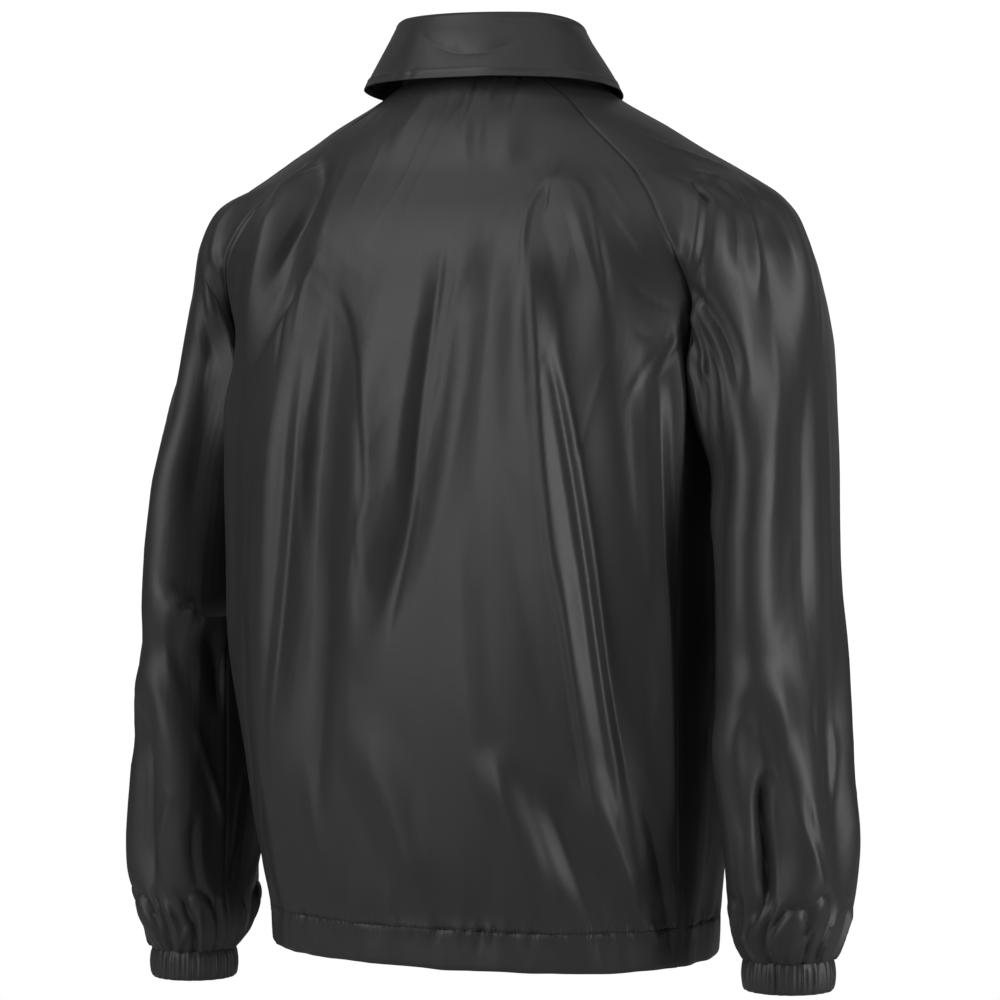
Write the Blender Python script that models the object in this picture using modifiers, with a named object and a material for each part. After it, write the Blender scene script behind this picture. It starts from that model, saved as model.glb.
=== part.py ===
"""A coach jacket worn with no wearer in it: an unlined raglan shell of satin nylon with a folded collar.

Metres, +Z up. The front faces -Y and the wearer's left is +X. The origin lies between the shoulders at the
height of the back neck seam. The tables below are in centimetres, and CM turns them into metres.
"""

from collections import namedtuple
from math import pi, radians

import bmesh
import bpy
import numpy as np
from mathutils import Vector

CM = 0.01
CLOTH_WALL = 0.15
CASING_WALL = 0.2
SEAM_GAP = 0.03

NECK_HEIGHT, NECK_FRONT, NECK_DROP, NECK_HALF_WIDTH = 0.8, -0.6, 6.2, 6.7
SPLIT_HEIGHT = -11.5
UNDERARM_HEIGHT = -24.5
CASING_TOP = -67.3
HEM_HEIGHT = -70.5
SIDE_SEAM_TURN = radians(76)
# The fronts lap past the middle by this much, with this gap between them.
FRONT_LAP, LAP_GAP = 1.6, 0.1
# The share of a panel's width that its narrow column along each seam takes.
SEAM_STRIP = 0.01
LEFT_SLEEVE_DROP = 2.9
# Gaps between sleeve and body: at the underarm point, beside it, and what is added 5 cm further down.
UNDERARM_GAP, SIDE_GAP, SLEEVE_CLEARANCE, CLEARANCE_REACH = 0.12, 0.28, 0.4, 5.0
SLEEVE_SOFTNESS = 0.4
# How far round the sleeve and how far down the underarm seam draws it to the side seam.
UNDERARM_PULL, UNDERARM_REACH, SEAM_TURN_MOST = 0.12, 7.0, 0.45


def table(names, rows):
    """Named columns of numbers, with the rows put in order of the first one."""
    ordered = np.array(sorted(rows), float)
    return dict(zip(names.split(), ordered.T))


# Level sections of the shoulders, body and sleeve heads as one form.
SHOULDERS = table(
    "height half_width back front middle power",
    [
        (0.8, 8.4, 6.8, 6.2, -2.8, 2.0),
        (-0.6, 10.4, 7.7, 7.2, -2.7, 2.0),
        (-3.0, 14.8, 9.5, 8.7, -2.6, 2.0),
        (-5.0, 18.1, 10.9, 9.6, -2.9, 2.0),
        (-6.6, 20.9, 12.0, 10.2, -3.3, 2.05),
        (-8.3, 23.7, 12.9, 10.9, -3.2, 2.1),
        (-10.0, 25.5, 13.5, 11.6, -2.8, 2.15),
        (-12.5, 26.9, 14.3, 12.2, -2.6, 2.2),
        (-17.0, 27.8, 15.4, 12.6, -2.9, 2.3),
        (-24.5, 28.7, 16.2, 13.0, -2.1, 2.35),
    ],
)
# Level sections of the body below the sleeves.
TORSO = table(
    "height half_width back front middle power",
    [
        (-11.5, 20.2, 13.6, 12.0, -2.2, 2.5),
        (-20.0, 20.6, 14.8, 12.8, -1.6, 2.6),
        (-28.0, 20.6, 15.3, 13.4, -0.8, 2.7),
        (-38.0, 20.4, 15.2, 13.6, -0.2, 2.7),
        (-50.0, 20.3, 14.8, 13.6, 0.0, 2.6),
        (-58.0, 20.0, 14.4, 13.4, -0.5, 2.5),
        (-64.0, 19.6, 14.0, 13.4, -1.1, 2.4),
        (-67.3, 19.3, 13.7, 13.3, -1.5, 2.3),
        (-70.5, 19.1, 13.5, 13.2, -1.7, 2.3),
    ],
)
# Level sections of the sleeve that hangs at the wearer's right, x counted outwards.
SLEEVE = table(
    "height centre middle across deep power",
    [
        (-11.5, 21.0, -2.6, 6.6, 9.8, 2.1),
        (-20.0, 23.2, -3.0, 4.9, 9.8, 2.1),
        (-28.0, 24.9, -2.0, 4.1, 9.1, 2.1),
        (-36.0, 25.8, -0.5, 4.2, 8.5, 2.1),
        (-46.0, 26.3, 0.4, 4.4, 7.9, 2.1),
        (-55.0, 26.7, 0.5, 4.7, 7.4, 2.1),
        (-61.5, 27.3, 0.3, 4.9, 6.8, 2.1),
        (-65.5, 27.4, 0.5, 4.7, 5.9, 2.1),
        (-68.0, 27.4, 0.9, 4.2, 4.8, 2.0),
        (-69.2, 27.5, 1.1, 3.7, 3.8, 2.0),
        (-71.7, 27.5, 1.1, 3.6, 3.6, 2.0),
    ],
)
# Where the raglan seams cross each level, as distances from the middle of the jacket.
RAGLAN = table(
    "height back front",
    [
        (0.8, 6.2, 6.4),
        (-0.6, 8.2, 6.7),
        (-3.0, 11.2, 8.2),
        (-5.0, 13.6, 9.8),
        (-6.6, 15.5, 11.0),
        (-8.3, 17.2, 12.2),
        (-12.5, 19.9, 14.6),
        (-17.0, 21.6, 16.8),
        (-24.5, 22.4, 19.5),
    ],
)


def read(columns, name, height):
    """One column at any value of the table's first one, by a smooth curve through its rows."""
    heights, values = next(iter(columns.values())), columns[name]
    slopes = np.gradient(values, heights)
    height = np.clip(height, heights[0], heights[-1])
    row = np.clip(np.searchsorted(heights, height) - 1, 0, len(heights) - 2)
    span = heights[row + 1] - heights[row]
    part = (height - heights[row]) / span
    low, rise = values[row], values[row + 1] - values[row]
    lean, next_lean = slopes[row] * span, slopes[row + 1] * span
    return (
        low
        + part * lean
        + part**2 * (3 * rise - 2 * lean - next_lean)
        + part**3 * (lean + next_lean - 2 * rise)
    )


def ease(start, end, value):
    """0 at start and 1 at end, with a level beginning and finish."""
    part = np.clip((value - start) / (end - start), 0, 1)
    return part * part * (3 - 2 * part)


def bent_power(value, power):
    return np.sign(value) * np.abs(value) ** power


def section(columns, height, turn):
    """Points of a level section: turn 0 is the middle of the back, a half turn the middle of the front."""
    power = 2 / read(columns, "power", height)
    back, front = read(columns, "back", height), read(columns, "front", height)
    depth = np.where(np.cos(turn) > 0, back, front)
    x = read(columns, "half_width", height) * bent_power(np.sin(turn), power)
    y = read(columns, "middle", height) + depth * bent_power(np.cos(turn), power)
    return np.stack([x, y], axis=-1)


def turn_at(columns, height, x):
    """The turn from the middle at which a section reaches this x."""
    part = np.clip(x / read(columns, "half_width", height), 0, 1)
    return np.arcsin(part ** (read(columns, "power", height) / 2))


def spread(path, share):
    """The point at this share of each path's length."""
    steps = np.linalg.norm(np.diff(path, axis=1), axis=2)
    along = np.concatenate([np.zeros((len(path), 1)), np.cumsum(steps, axis=1)], axis=1)
    target = share * along[:, -1]
    piece = np.clip((along < target[:, None]).sum(axis=1) - 1, 0, path.shape[1] - 2)
    row = np.arange(len(path))
    part = (target - along[row, piece]) / (along[row, piece + 1] - along[row, piece])
    return path[row, piece] + part[:, None] * (path[row, piece + 1] - path[row, piece])


def between(start, end, count=61):
    """Evenly spaced turns from each start to each end."""
    return start[:, None] + (end - start)[:, None] * np.linspace(0, 1, count)


def apart(height):
    """0 where body and sleeve are one form and 1 where they hang apart."""
    return ease(SPLIT_HEIGHT, UNDERARM_HEIGHT, height)


def back_wall(share, height):
    """The right half of the back, from its middle to its seam."""
    level = height[:, None]
    zero = np.zeros_like(height)
    seam = turn_at(SHOULDERS, height, read(RAGLAN, "back", height))
    upper = spread(section(SHOULDERS, level, between(zero, seam)), share)
    lower = spread(section(TORSO, level, between(zero, zero + SIDE_SEAM_TURN)), share)
    return upper + apart(height)[:, None] * (lower - upper)


def front_wall(share, height):
    """One front, from the edge that laps past the middle to its seam."""
    level = height[:, None]
    paths = []
    seam = turn_at(SHOULDERS, height, read(RAGLAN, "front", height))
    for columns, end in (SHOULDERS, pi - seam), (TORSO, np.full_like(height, SIDE_SEAM_TURN)):
        lap = turn_at(columns, height, FRONT_LAP)
        paths.append(spread(section(columns, level, between(pi + lap, end)), share))
    upper, lower = paths
    return upper + apart(height)[:, None] * (lower - upper)


def side_of_body(y, height):
    """The x at which the body's section reaches this y, at the wearer's left."""
    away = y - read(TORSO, "middle", height)
    reach = np.where(away > 0, read(TORSO, "back", height), read(TORSO, "front", height))
    power = read(TORSO, "power", height)
    inside = 1 - np.clip(np.abs(away) / reach, 0, 1) ** power
    return read(TORSO, "half_width", height) * inside ** (1 / power)


def clear_of_body(ring, height):
    """The x of a sleeve ring's points, none nearer the body than the sleeve's clearance."""
    level = height[:, None]
    side = side_of_body(ring[..., 1], level) + SIDE_GAP
    side = side + SLEEVE_CLEARANCE * np.clip((UNDERARM_HEIGHT - level) / CLEARANCE_REACH, 0, 1)
    gap = ring[..., 0] - side
    pressed = SLEEVE_SOFTNESS * np.exp(gap / SLEEVE_SOFTNESS - 1)
    return side + np.where(gap < SLEEVE_SOFTNESS, pressed, gap)


def sleeve_wall(share, height):
    """The sleeve from its back seam, round the outside, to its front seam."""
    level = height[:, None]
    back = turn_at(SHOULDERS, height, read(RAGLAN, "back", height))
    front = turn_at(SHOULDERS, height, read(RAGLAN, "front", height))
    upper = spread(section(SHOULDERS, level, between(back, pi - front)), share)
    side = section(TORSO, height, np.full_like(height, SIDE_SEAM_TURN))
    centre, middle = read(SLEEVE, "centre", height), read(SLEEVE, "middle", height)
    across, deep = read(SLEEVE, "across", height), read(SLEEVE, "deep", height)
    start = np.arcsin(np.clip((side[:, 1] - middle) / deep, -SEAM_TURN_MOST, SEAM_TURN_MOST))
    turn = between(start, start + 2 * pi)
    power = 2 / read(SLEEVE, "power", level)
    ring = np.stack(
        [
            centre[:, None] - across[:, None] * bent_power(np.cos(turn), power),
            middle[:, None] + deep[:, None] * bent_power(np.sin(turn), power),
        ],
        axis=-1,
    )
    ring[..., 0] = clear_of_body(ring, height)
    lower = spread(ring, share)
    pull = ease(UNDERARM_PULL, 0, np.minimum(share, 1 - share))
    pull = pull * ease(UNDERARM_HEIGHT - UNDERARM_REACH, UNDERARM_HEIGHT, height)
    lower = lower + pull[:, None] * (side + (UNDERARM_GAP, 0) - ring[:, 0])
    return upper + apart(height)[:, None] * (lower - upper)


# A fold lies in a panel's own sizes, across from its middle line and up from the neck's level, and runs from its
# first place through its middle to its end. A trough has a negative depth, and crisp runs from 0 for a soft roll
# to 1 for a crease.
Fold = namedtuple("Fold", "across height mid_across mid_height end_across end_height width depth crisp")


def folds(rows):
    return [Fold(*row) for row in rows]


BACK_FOLDS = folds(
    [
        # the wide hollow below the wearer's left shoulder blade, with its raised edges
        (7.7, -14.5, 8.4, -33.0, 9.8, -60.0, 4.8, -1.3, 0.2),
        (4.4, -17.0, 3.6, -36.0, 4.0, -48.0, 3.0, 0.6, 0.2),
        (12.6, -22.0, 13.4, -40.0, 14.6, -62.0, 3.4, 0.6, 0.2),
        # the thin fold left of the middle and its short return
        (-3.2, -14.0, -1.8, -30.0, 2.2, -44.0, 2.8, -0.8, 0.3),
        # the long drag lines from the shoulder blade to the hem at the wearer's right
        (-9.2, -13.0, -11.2, -28.0, -17.6, -62.0, 3.2, 1.0, 0.4),
        (-11.6, -14.0, -15.0, -31.0, -21.0, -60.0, 3.8, -1.2, 0.2),
        (-9.0, -9.0, -13.0, -10.5, -18.6, -27.0, 2.8, 0.5, 0.3),
        (-7.0, -11.0, -6.6, -20.0, -6.6, -36.0, 3.0, -0.4, 0.2),
        # low swells above the hem
        (-8.0, -52.0, -9.8, -59.0, -12.4, -65.5, 3.0, 0.6, 0.2),
        (-15.2, -53.0, -16.8, -60.0, -19.0, -65.5, 2.8, 0.6, 0.2),
        (-11.8, -54.0, -13.4, -60.0, -16.0, -65.5, 2.8, -0.6, 0.2),
        (4.0, -50.0, 1.0, -58.0, -2.0, -65.0, 3.6, 0.5, 0.1),
        (18.0, -40.0, 17.6, -52.0, 18.0, -64.0, 3.0, -0.6, 0.2),
        # the corners that stand out behind the arms
        (-21.4, -18.5, -23.4, -34.0, -23.2, -62.0, 3.0, 1.2, 0.4),
        (21.2, -18.5, 23.0, -34.0, 22.6, -58.0, 3.0, 1.4, 0.4),
        # drag folds from the wearer's left shoulder
        (13.6, -5.0, 11.8, -10.0, 15.2, -20.0, 2.8, -0.9, 0.2),
        (16.6, -6.0, 15.2, -12.0, 19.4, -26.0, 2.8, 0.8, 0.3),
        # small gathers under the collar
        (-1.4, 0.6, -1.6, -2.0, -2.4, -6.0, 1.8, 0.2, 0.1),
        (-4.8, 0.6, -5.4, -2.6, -6.8, -8.0, 2.0, 0.35, 0.1),
        (3.0, 0.6, 3.4, -2.4, 4.4, -6.0, 1.8, 0.2, 0.1),
    ]
)
# The sleeves' folds, across from the outermost line and negative behind it.
SLEEVE_FOLDS = folds(
    [
        (-9.2, -7.5, -12.2, -13.0, -17.4, -22.0, 3.2, 0.9, 0.3),
        (-5.6, -8.0, -7.6, -15.0, -12.6, -26.0, 3.2, -0.9, 0.2),
        (-4.0, -8.0, -3.0, -12.0, -5.6, -22.0, 3.2, 0.5, 0.2),
        (-15.6, -17.0, -17.0, -26.0, -16.0, -37.0, 3.4, -0.8, 0.2),
        (-12.4, -26.0, -13.2, -36.0, -12.6, -47.0, 3.4, 0.7, 0.2),
        (-8.4, -22.0, -8.6, -34.0, -8.0, -46.0, 3.4, -0.5, 0.2),
        # the forearm's folds towards the cuff
        (-15.0, -58.0, -13.0, -47.5, -9.0, -53.0, 3.0, 0.7, 0.2),
        (-11.6, -49.0, -11.2, -57.0, -11.0, -66.0, 3.0, -0.8, 0.2),
        (-7.8, -50.0, -8.0, -59.0, -7.8, -66.0, 3.0, 0.7, 0.2),
        (-15.4, -48.0, -15.0, -57.0, -14.4, -66.0, 3.0, 0.6, 0.2),
        (-4.2, -44.0, -4.0, -56.0, -4.4, -66.0, 3.0, -0.6, 0.2),
        (-0.6, -38.0, -0.8, -52.0, -0.8, -65.0, 3.2, 0.6, 0.2),
        (3.6, -20.0, 4.2, -34.0, 3.2, -52.0, 3.4, -0.6, 0.2),
        (8.0, -13.0, 10.4, -20.0, 15.0, -26.0, 3.2, -0.7, 0.2),
        (8.4, -36.0, 12.0, -44.0, 16.0, -48.0, 3.4, 0.7, 0.2),
        (7.0, -44.0, 10.6, -51.0, 15.0, -55.0, 3.2, -0.7, 0.2),
        (6.0, -50.0, 6.6, -58.0, 6.4, -66.0, 3.0, 0.6, 0.2),
        (11.4, -54.0, 10.8, -60.0, 10.8, -66.0, 3.0, -0.6, 0.2),
    ]
)
# The fronts' folds, across from the snap line.
FRONT_FOLDS = folds(
    [
        (7.0, -13.0, 10.0, -22.0, 17.0, -28.0, 4.2, -0.9, 0.1),
        (6.5, -24.0, 7.0, -40.0, 6.5, -62.0, 4.4, 0.7, 0.1),
        (11.6, -30.0, 12.2, -46.0, 12.2, -64.0, 4.4, -0.9, 0.1),
        (17.0, -28.0, 17.5, -46.0, 17.4, -64.0, 4.4, 0.8, 0.1),
        (22.0, -30.0, 22.5, -44.0, 22.0, -62.0, 4.0, -0.5, 0.1),
    ]
)

# The collar from the middle of the back (round 0) to the middle of the front (round 1): the rise and lean of
# its stand, the leaf's drop and flare from the roll line, and how far the leaf's edge slants off sideways.
COLLAR = table(
    "round rise lean drop flare slant",
    [
        (0.0, 5.2, -1.2, 5.3, 2.8, 0.0),
        (0.2, 5.2, -1.3, 5.4, 3.5, 0.0),
        (0.35, 5.2, -1.2, 5.4, 3.9, 0.0),
        (0.5, 5.0, -1.9, 5.4, 3.3, 0.0),
        (0.65, 4.6, -2.3, 5.1, 3.3, 0.0),
        (0.78, 3.9, -1.5, 5.0, 2.9, 0.3),
        (0.88, 3.2, -0.4, 5.3, 2.8, 1.0),
        (1.0, 2.4, 0.3, 6.2, 2.2, 2.4),
    ],
)
# The collar's ends stop this far from the middle of the front, and its stand starts just above and inside the
# neck seam. Its roll line leans to the wearer's left by the tilt, less and less towards the ends.
COLLAR_COLUMNS, COLLAR_ROLL, COLLAR_END = 22, 0.38, 0.3
COLLAR_LIFT, COLLAR_INSET, COLLAR_TILT, TILT_END = 0.17, 0.28, 1.0, 0.75

SNAP_HEIGHTS = (-12.8, -24.8, -36.8, -48.8, -60.8)
SNAP_RADIUS, SNAP_DEPTH, SNAP_SIDES, SNAP_SHARE = 0.75, 0.26, 12, 0.06

# Rows and columns of the panels. Rows at and above the underarm match on every panel, so that the seams meet.
ARMHOLE_BEND, ARMHOLE_ROWS, SHOULDER_ROWS = -14.0, 5, 11
BACK_COLUMNS, FRONT_COLUMNS, BODY_ROWS = 35, 11, 18
SLEEVE_COLUMNS, SLEEVE_ROWS = 24, 16
# Folds fade out over these lengths: from side seams, above casing or cuff, and below the neck seam.
SEAM_FADE, FOOT_FADE, NECK_FADE, LAP_FADE = 1.6, 3.0, 1.3, 2.5

HEM_PUCKERS_BACK, HEM_PUCKERS_FRONT, PUCKER_DEPTH, PUCKER_FOOT = 28, 14, 0.14, 0.35
# The front casings lie smooth where they lap, up to the first of these shares.
HEM_LAP_SHARES = (0.16, 0.36)
CUFF_TOP, CUFF_FOOT = -69.2, -71.7
CUFF_GATHERS, SLEEVE_GATHERS, GATHER_DEPTH, GATHER_REACH = 22, (SLEEVE_COLUMNS - 3) / 2, 0.16, 4.0


def surface(wall, shares, heights):
    """The wall's points over a grid of shares and heights, as rows, columns and x, y, z."""
    share, height = np.broadcast_arrays(np.asarray(shares)[None, :], heights)
    flat = wall(np.abs(share).ravel(), height.ravel()).reshape(*share.shape, 2)
    flat[..., 0] *= np.where(share < 0, -1, 1)
    return np.concatenate([flat, height[..., None]], axis=2)


def shares_between(start, end, count):
    """Even shares for a panel's columns, with a narrow strip along each seam."""
    strip = SEAM_STRIP * np.sign(end - start)
    return np.concatenate([[start], np.linspace(start + strip, end - strip, count - 2), [end]])


def waves(shares, count):
    """So many waves from one seam strip of a panel to the other."""
    part = (shares - shares[1]) / (shares[-2] - shares[1])
    return np.cos(2 * pi * count * part)


def level_out(points):
    """The outward direction kept level."""
    normal = outward(points) * (1, 1, 0)
    return normal / np.maximum(np.linalg.norm(normal, axis=2, keepdims=True), 1e-9)


def outward(points):
    """The direction out of a grid whose columns run left to right and rows upwards, seen from outside."""
    normal = np.cross(np.gradient(points, axis=1), np.gradient(points, axis=0))
    return normal / np.maximum(np.linalg.norm(normal, axis=2, keepdims=True), 1e-9)


def across_of(points, middle):
    """How far along its row each point lies from the column at the middle."""
    steps = np.linalg.norm(np.diff(points, axis=1), axis=2)
    along = np.concatenate([np.zeros((len(points), 1)), np.cumsum(steps, axis=1)], axis=1)
    columns = np.arange(points.shape[1])
    return along - np.array([np.interp(middle, columns, row) for row in along])[:, None]


def fold_line(fold, pieces=12):
    """Points along a fold: a curve from its start through its middle to its end."""
    part = np.linspace(0, 1, pieces + 1)[:, None]
    start, middle, end = np.array(fold[:6]).reshape(3, 2)
    bend = 2 * middle - (start + end) / 2
    return (1 - part) ** 2 * start + 2 * part * (1 - part) * bend + part**2 * end


def fold_shape(across, height, fold):
    """How far one fold lifts each point of a panel: most along its line, and less towards its two ends."""
    line = fold_line(fold)
    point = np.stack([across, height], axis=-1)[..., None, :]
    step = np.diff(line, axis=0)
    along = ((point - line[:-1]) * step).sum(axis=-1) / (step**2).sum(axis=-1)
    along = np.clip(along, 0, 1)
    away = np.linalg.norm(point - line[:-1] - along[..., None] * step, axis=-1)
    nearest = away.argmin(axis=-1)[..., None]
    distance = np.take_along_axis(away, nearest, -1)[..., 0]
    place = (nearest + np.take_along_axis(along, nearest, -1))[..., 0] / len(step)
    near = np.clip(1 - distance / fold.width, 0, 1)
    soft = near * near * (3 - 2 * near)
    fade = ease(-0.02, 0.3, place) * ease(1.02, 0.7, place)
    return fold.depth * fade * (soft + fold.crisp * (near**2 - soft))


def folded(points, panel_folds, across, fade):
    """The grid with its folds raised along its normals, as far as the fade lets them."""
    lift = sum(fold_shape(across, points[..., 2], fold) for fold in panel_folds)
    return points + outward(points) * (lift * fade)[..., None]


def trimmed(points, left, right):
    """The grid with its side edges drawn in by these gaps, square to each edge."""
    points = points.copy()
    for edge, inner, gap in (points[:, 0], points[:, 1], left), (points[:, -1], points[:, -2], right):
        along = np.gradient(edge, axis=0)
        along /= np.linalg.norm(along, axis=1, keepdims=True)
        step = inner - edge
        step -= (step * along).sum(axis=1, keepdims=True) * along
        edge += step * gap / np.maximum(np.linalg.norm(step, axis=1, keepdims=True), 1e-6)
    return points


def level_rows(low, top, lower_rows):
    """Heights of a panel's rows: the rows of the armhole and shoulder match on every panel."""
    top = np.asarray(top, float)
    lower = np.linspace(low, UNDERARM_HEIGHT, lower_rows + 1)[:, None] + 0 * top
    armhole = np.linspace(UNDERARM_HEIGHT, ARMHOLE_BEND, ARMHOLE_ROWS + 1)[1:, None] + 0 * top
    shoulder = ARMHOLE_BEND + np.linspace(0, 1, SHOULDER_ROWS + 1)[1:, None] * (top - ARMHOLE_BEND)
    return np.concatenate([lower, armhole, shoulder])


def mirrored(points):
    return points[:, ::-1] * (-1, 1, 1)


def neck_of_front(share):
    """The height of the neck edge along one front: a bowl between the two raglan seams."""
    height = np.full_like(share, NECK_FRONT - NECK_DROP)
    for _ in range(40):
        x = front_wall(share, height)[:, 0]
        bowl = np.clip(1 - (x / NECK_HALF_WIDTH) ** 2, 0, 1) ** 0.8
        height = (height + NECK_FRONT - NECK_DROP * bowl) / 2
    return height


def seam_fade(across, low, high, reach=SEAM_FADE):
    """0 at two side seams and 1 further in than reach."""
    return ease(0, reach, across - low) * ease(0, reach, high - across)


def end_fade(height, foot, top):
    """0 at the foot of a panel and at its top edge, and 1 between."""
    return ease(foot, foot + FOOT_FADE, height) * ease(0, NECK_FADE, top - height)


def back_points(columns=BACK_COLUMNS, lower_rows=BODY_ROWS):
    shares = shares_between(1, -1, columns)
    points = surface(back_wall, shares, level_rows(CASING_TOP, NECK_HEIGHT + 0 * shares, lower_rows))
    across = -across_of(points, (columns - 1) / 2)
    edge = np.abs(across).max(axis=1, keepdims=True)
    fade = seam_fade(across, -edge, edge) * end_fade(points[..., 2], CASING_TOP, NECK_HEIGHT)
    return folded(points, BACK_FOLDS, across, fade)


def front_points(columns=FRONT_COLUMNS, lower_rows=BODY_ROWS):
    """The wearer's left front, from the edge that laps past the middle to its seams."""
    shares = shares_between(0, 1, columns)
    top = neck_of_front(shares)
    points = surface(front_wall, shares, level_rows(CASING_TOP, top, lower_rows))
    across = across_of(points, 0) - FRONT_LAP
    edge = across.max(axis=1, keepdims=True)
    fade = seam_fade(across, LAP_FADE, edge) * end_fade(points[..., 2], CASING_TOP, top)
    return folded(points, FRONT_FOLDS, across, fade)


def lapped_under(points, step):
    """The other front: mirrored, and set back where it passes under the first."""
    across = across_of(points, 0) - FRONT_LAP
    points = points - outward(points) * (step * ease(FRONT_LAP + 3, FRONT_LAP + 0.8, across))[..., None]
    return mirrored(points)


def sleeve_top(shares):
    """The height of the sleeve's short neck edge, from its back seam to its front seam."""
    return NECK_HEIGHT + (NECK_FRONT - NECK_HEIGHT) * ease(0, 1, shares)


def sleeve_points(columns=SLEEVE_COLUMNS, lower_rows=SLEEVE_ROWS):
    """The wearer's left sleeve from its front seam round the outside to its back seam."""
    shares = shares_between(1, 0, columns)
    top = sleeve_top(shares)
    points = surface(sleeve_wall, shares, level_rows(CUFF_TOP, top, lower_rows))
    across = -across_of(points, (columns - 1) / 2)
    edge = np.abs(across).max(axis=1, keepdims=True)
    fade = seam_fade(across, -edge, edge) * end_fade(points[..., 2], CUFF_TOP, top)
    points = folded(points, SLEEVE_FOLDS, across, fade)
    gathers = GATHER_DEPTH * waves(shares, SLEEVE_GATHERS) * ease(0, 1, edge - np.abs(across))
    gathers = gathers * ease(CUFF_TOP + GATHER_REACH, CUFF_TOP, points[..., 2])
    return points + level_out(points) * gathers[..., None]


def lowered(points, drop):
    """A sleeve let down below the underarm, by this much at the top of the cuff."""
    points = points.copy()
    points[..., 2] -= drop * np.clip((UNDERARM_HEIGHT - points[..., 2]) / (UNDERARM_HEIGHT - CUFF_TOP), 0, 1)
    return points


def cuff_points(columns=2 * CUFF_GATHERS + 1, rows=2):
    """The elastic cuff at the wearer's left: a straight ring with gathers all round."""
    shares = np.linspace(1, 0, columns)
    points = surface(sleeve_wall, shares, np.full((rows, 1), CUFF_FOOT))
    points[..., 2] = np.linspace(CUFF_FOOT, CUFF_TOP - SEAM_GAP, rows)[:, None]
    gathers = GATHER_DEPTH * np.cos(2 * pi * CUFF_GATHERS * shares)[None, :, None]
    points = points + level_out(points) * gathers
    points[:, -1] = points[:, 0]
    return points


def casing_points(wall, shares, puckers, steady=1.0, rows=2):
    """One piece of the hem casing: its puckers are deepest along the stitching at its top."""
    rises = np.linspace(0, 1, rows)
    points = surface(wall, shares, HEM_HEIGHT + rises[:, None] * (CASING_TOP - SEAM_GAP - HEM_HEIGHT))
    depth = PUCKER_DEPTH * (PUCKER_FOOT + (1 - PUCKER_FOOT) * rises[:, None])
    depth = depth * steady * ease(1, 1 - 3 * SEAM_STRIP, np.abs(shares))
    return points + level_out(points) * (depth * waves(shares, puckers))[..., None]


def neck_line(columns):
    """Points along the neck seam at the wearer's left, from the middle of the back to the collar's end."""
    shares = np.linspace(0, 1, 41)
    front = shares[::-1]
    parts = [
        surface(back_wall, shares, np.full((1, 1), NECK_HEIGHT))[0],
        surface(sleeve_wall, shares, sleeve_top(shares)[None, :])[0, 1:],
        surface(front_wall, front, neck_of_front(front)[None, :])[0, 1:],
    ]
    line = np.concatenate(parts)
    line = line[(line[:, 0] >= COLLAR_END) | (line[:, 1] > 0)]
    steps = np.linalg.norm(np.diff(line, axis=0), axis=1)
    along = np.concatenate([[0], np.cumsum(steps)])
    targets = np.linspace(0, along[-1], columns)
    return np.stack([np.interp(targets, along, line[:, k]) for k in range(3)], axis=1)


def level_directions(line):
    """The collar's directions at each point of the neck line: along it, and level out from the neck."""
    tangent = np.gradient(line, axis=0) * (1, 1, 0)
    tangent /= np.linalg.norm(tangent, axis=1, keepdims=True)
    out = np.stack([-tangent[:, 1], tangent[:, 0], np.zeros(len(line))], axis=1)
    out[0], tangent[0] = (0, 1, 0), (1, 0, 0)
    for _ in range(4):
        out[1:-1] = (out[:-2] + 2 * out[1:-1] + out[2:]) / 4
    return tangent, out / np.linalg.norm(out, axis=1, keepdims=True)


def collar_profile(round_, stand_rows, roll_rows, leaf_rows):
    """How far out, up, back and tilted each row of the collar lies, from the stand's foot to the leaf's edge."""
    rise, lean, drop, flare, slant = (read(COLLAR, name, round_) for name in list(COLLAR)[1:])
    level = 0 * round_
    rows = []
    for part in np.linspace(0, 1, stand_rows + 1)[:-1]:
        rows.append((lean * part, (rise - COLLAR_ROLL) * part, level, COLLAR_TILT * part))
    for turn in np.linspace(pi, 0, roll_rows):
        shift = COLLAR_ROLL * (1 + np.cos(turn))
        rows.append((lean + shift, rise - COLLAR_ROLL * (1 - np.sin(turn)), level, COLLAR_TILT))
    for part in np.linspace(0, 1, leaf_rows + 1)[1:]:
        shift = 2 * COLLAR_ROLL + (flare - 2 * COLLAR_ROLL) * part
        fall = rise - COLLAR_ROLL - (drop - COLLAR_ROLL) * part
        rows.append((lean + shift, fall, slant * part**2, COLLAR_TILT * (1 - part / 2)))
    return rows


def collar_points(columns=COLLAR_COLUMNS, stand_rows=2, roll_rows=3, leaf_rows=3):
    """The collar as one folded strip: up the stand, over the roll line and down the leaf."""
    line = neck_line(columns)
    tangent, out = level_directions(line)
    line = line + (0, 0, COLLAR_LIFT) - COLLAR_INSET * out
    round_ = np.linspace(0, 1, columns)
    rows = collar_profile(round_, stand_rows, roll_rows, leaf_rows)
    sides = []
    for side in 1, -1:
        strips = []
        for shift, up, back, tilt in rows:
            strip = line + out * shift[:, None] + np.outer(up, (0, 0, 1)) - tangent * back[:, None]
            strips.append(strip * (side, 1, 1) + np.outer(tilt * ease(1, TILT_END, round_), (1, 0, 0)))
        sides.append(np.stack(strips))
    left, right = sides
    return np.concatenate([left[:, :0:-1], right], axis=1)


def jacket_collection(name):
    collection = bpy.data.collections.new(name)
    bpy.context.scene.collection.children.link(collection)
    return collection


def principled(name, colour, roughness, metallic=0.0):
    material = bpy.data.materials.new(name)
    material.use_nodes = True
    shader = material.node_tree.nodes["Principled BSDF"]
    shader.inputs["Base Color"].default_value = (*colour, 1.0)
    shader.inputs["Roughness"].default_value = roughness
    shader.inputs["Metallic"].default_value = metallic
    return material


def satin_nylon():
    """Charcoal black cloth with a broad soft sheen."""
    return principled("satin_nylon", (0.030, 0.031, 0.033), 0.38)


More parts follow.
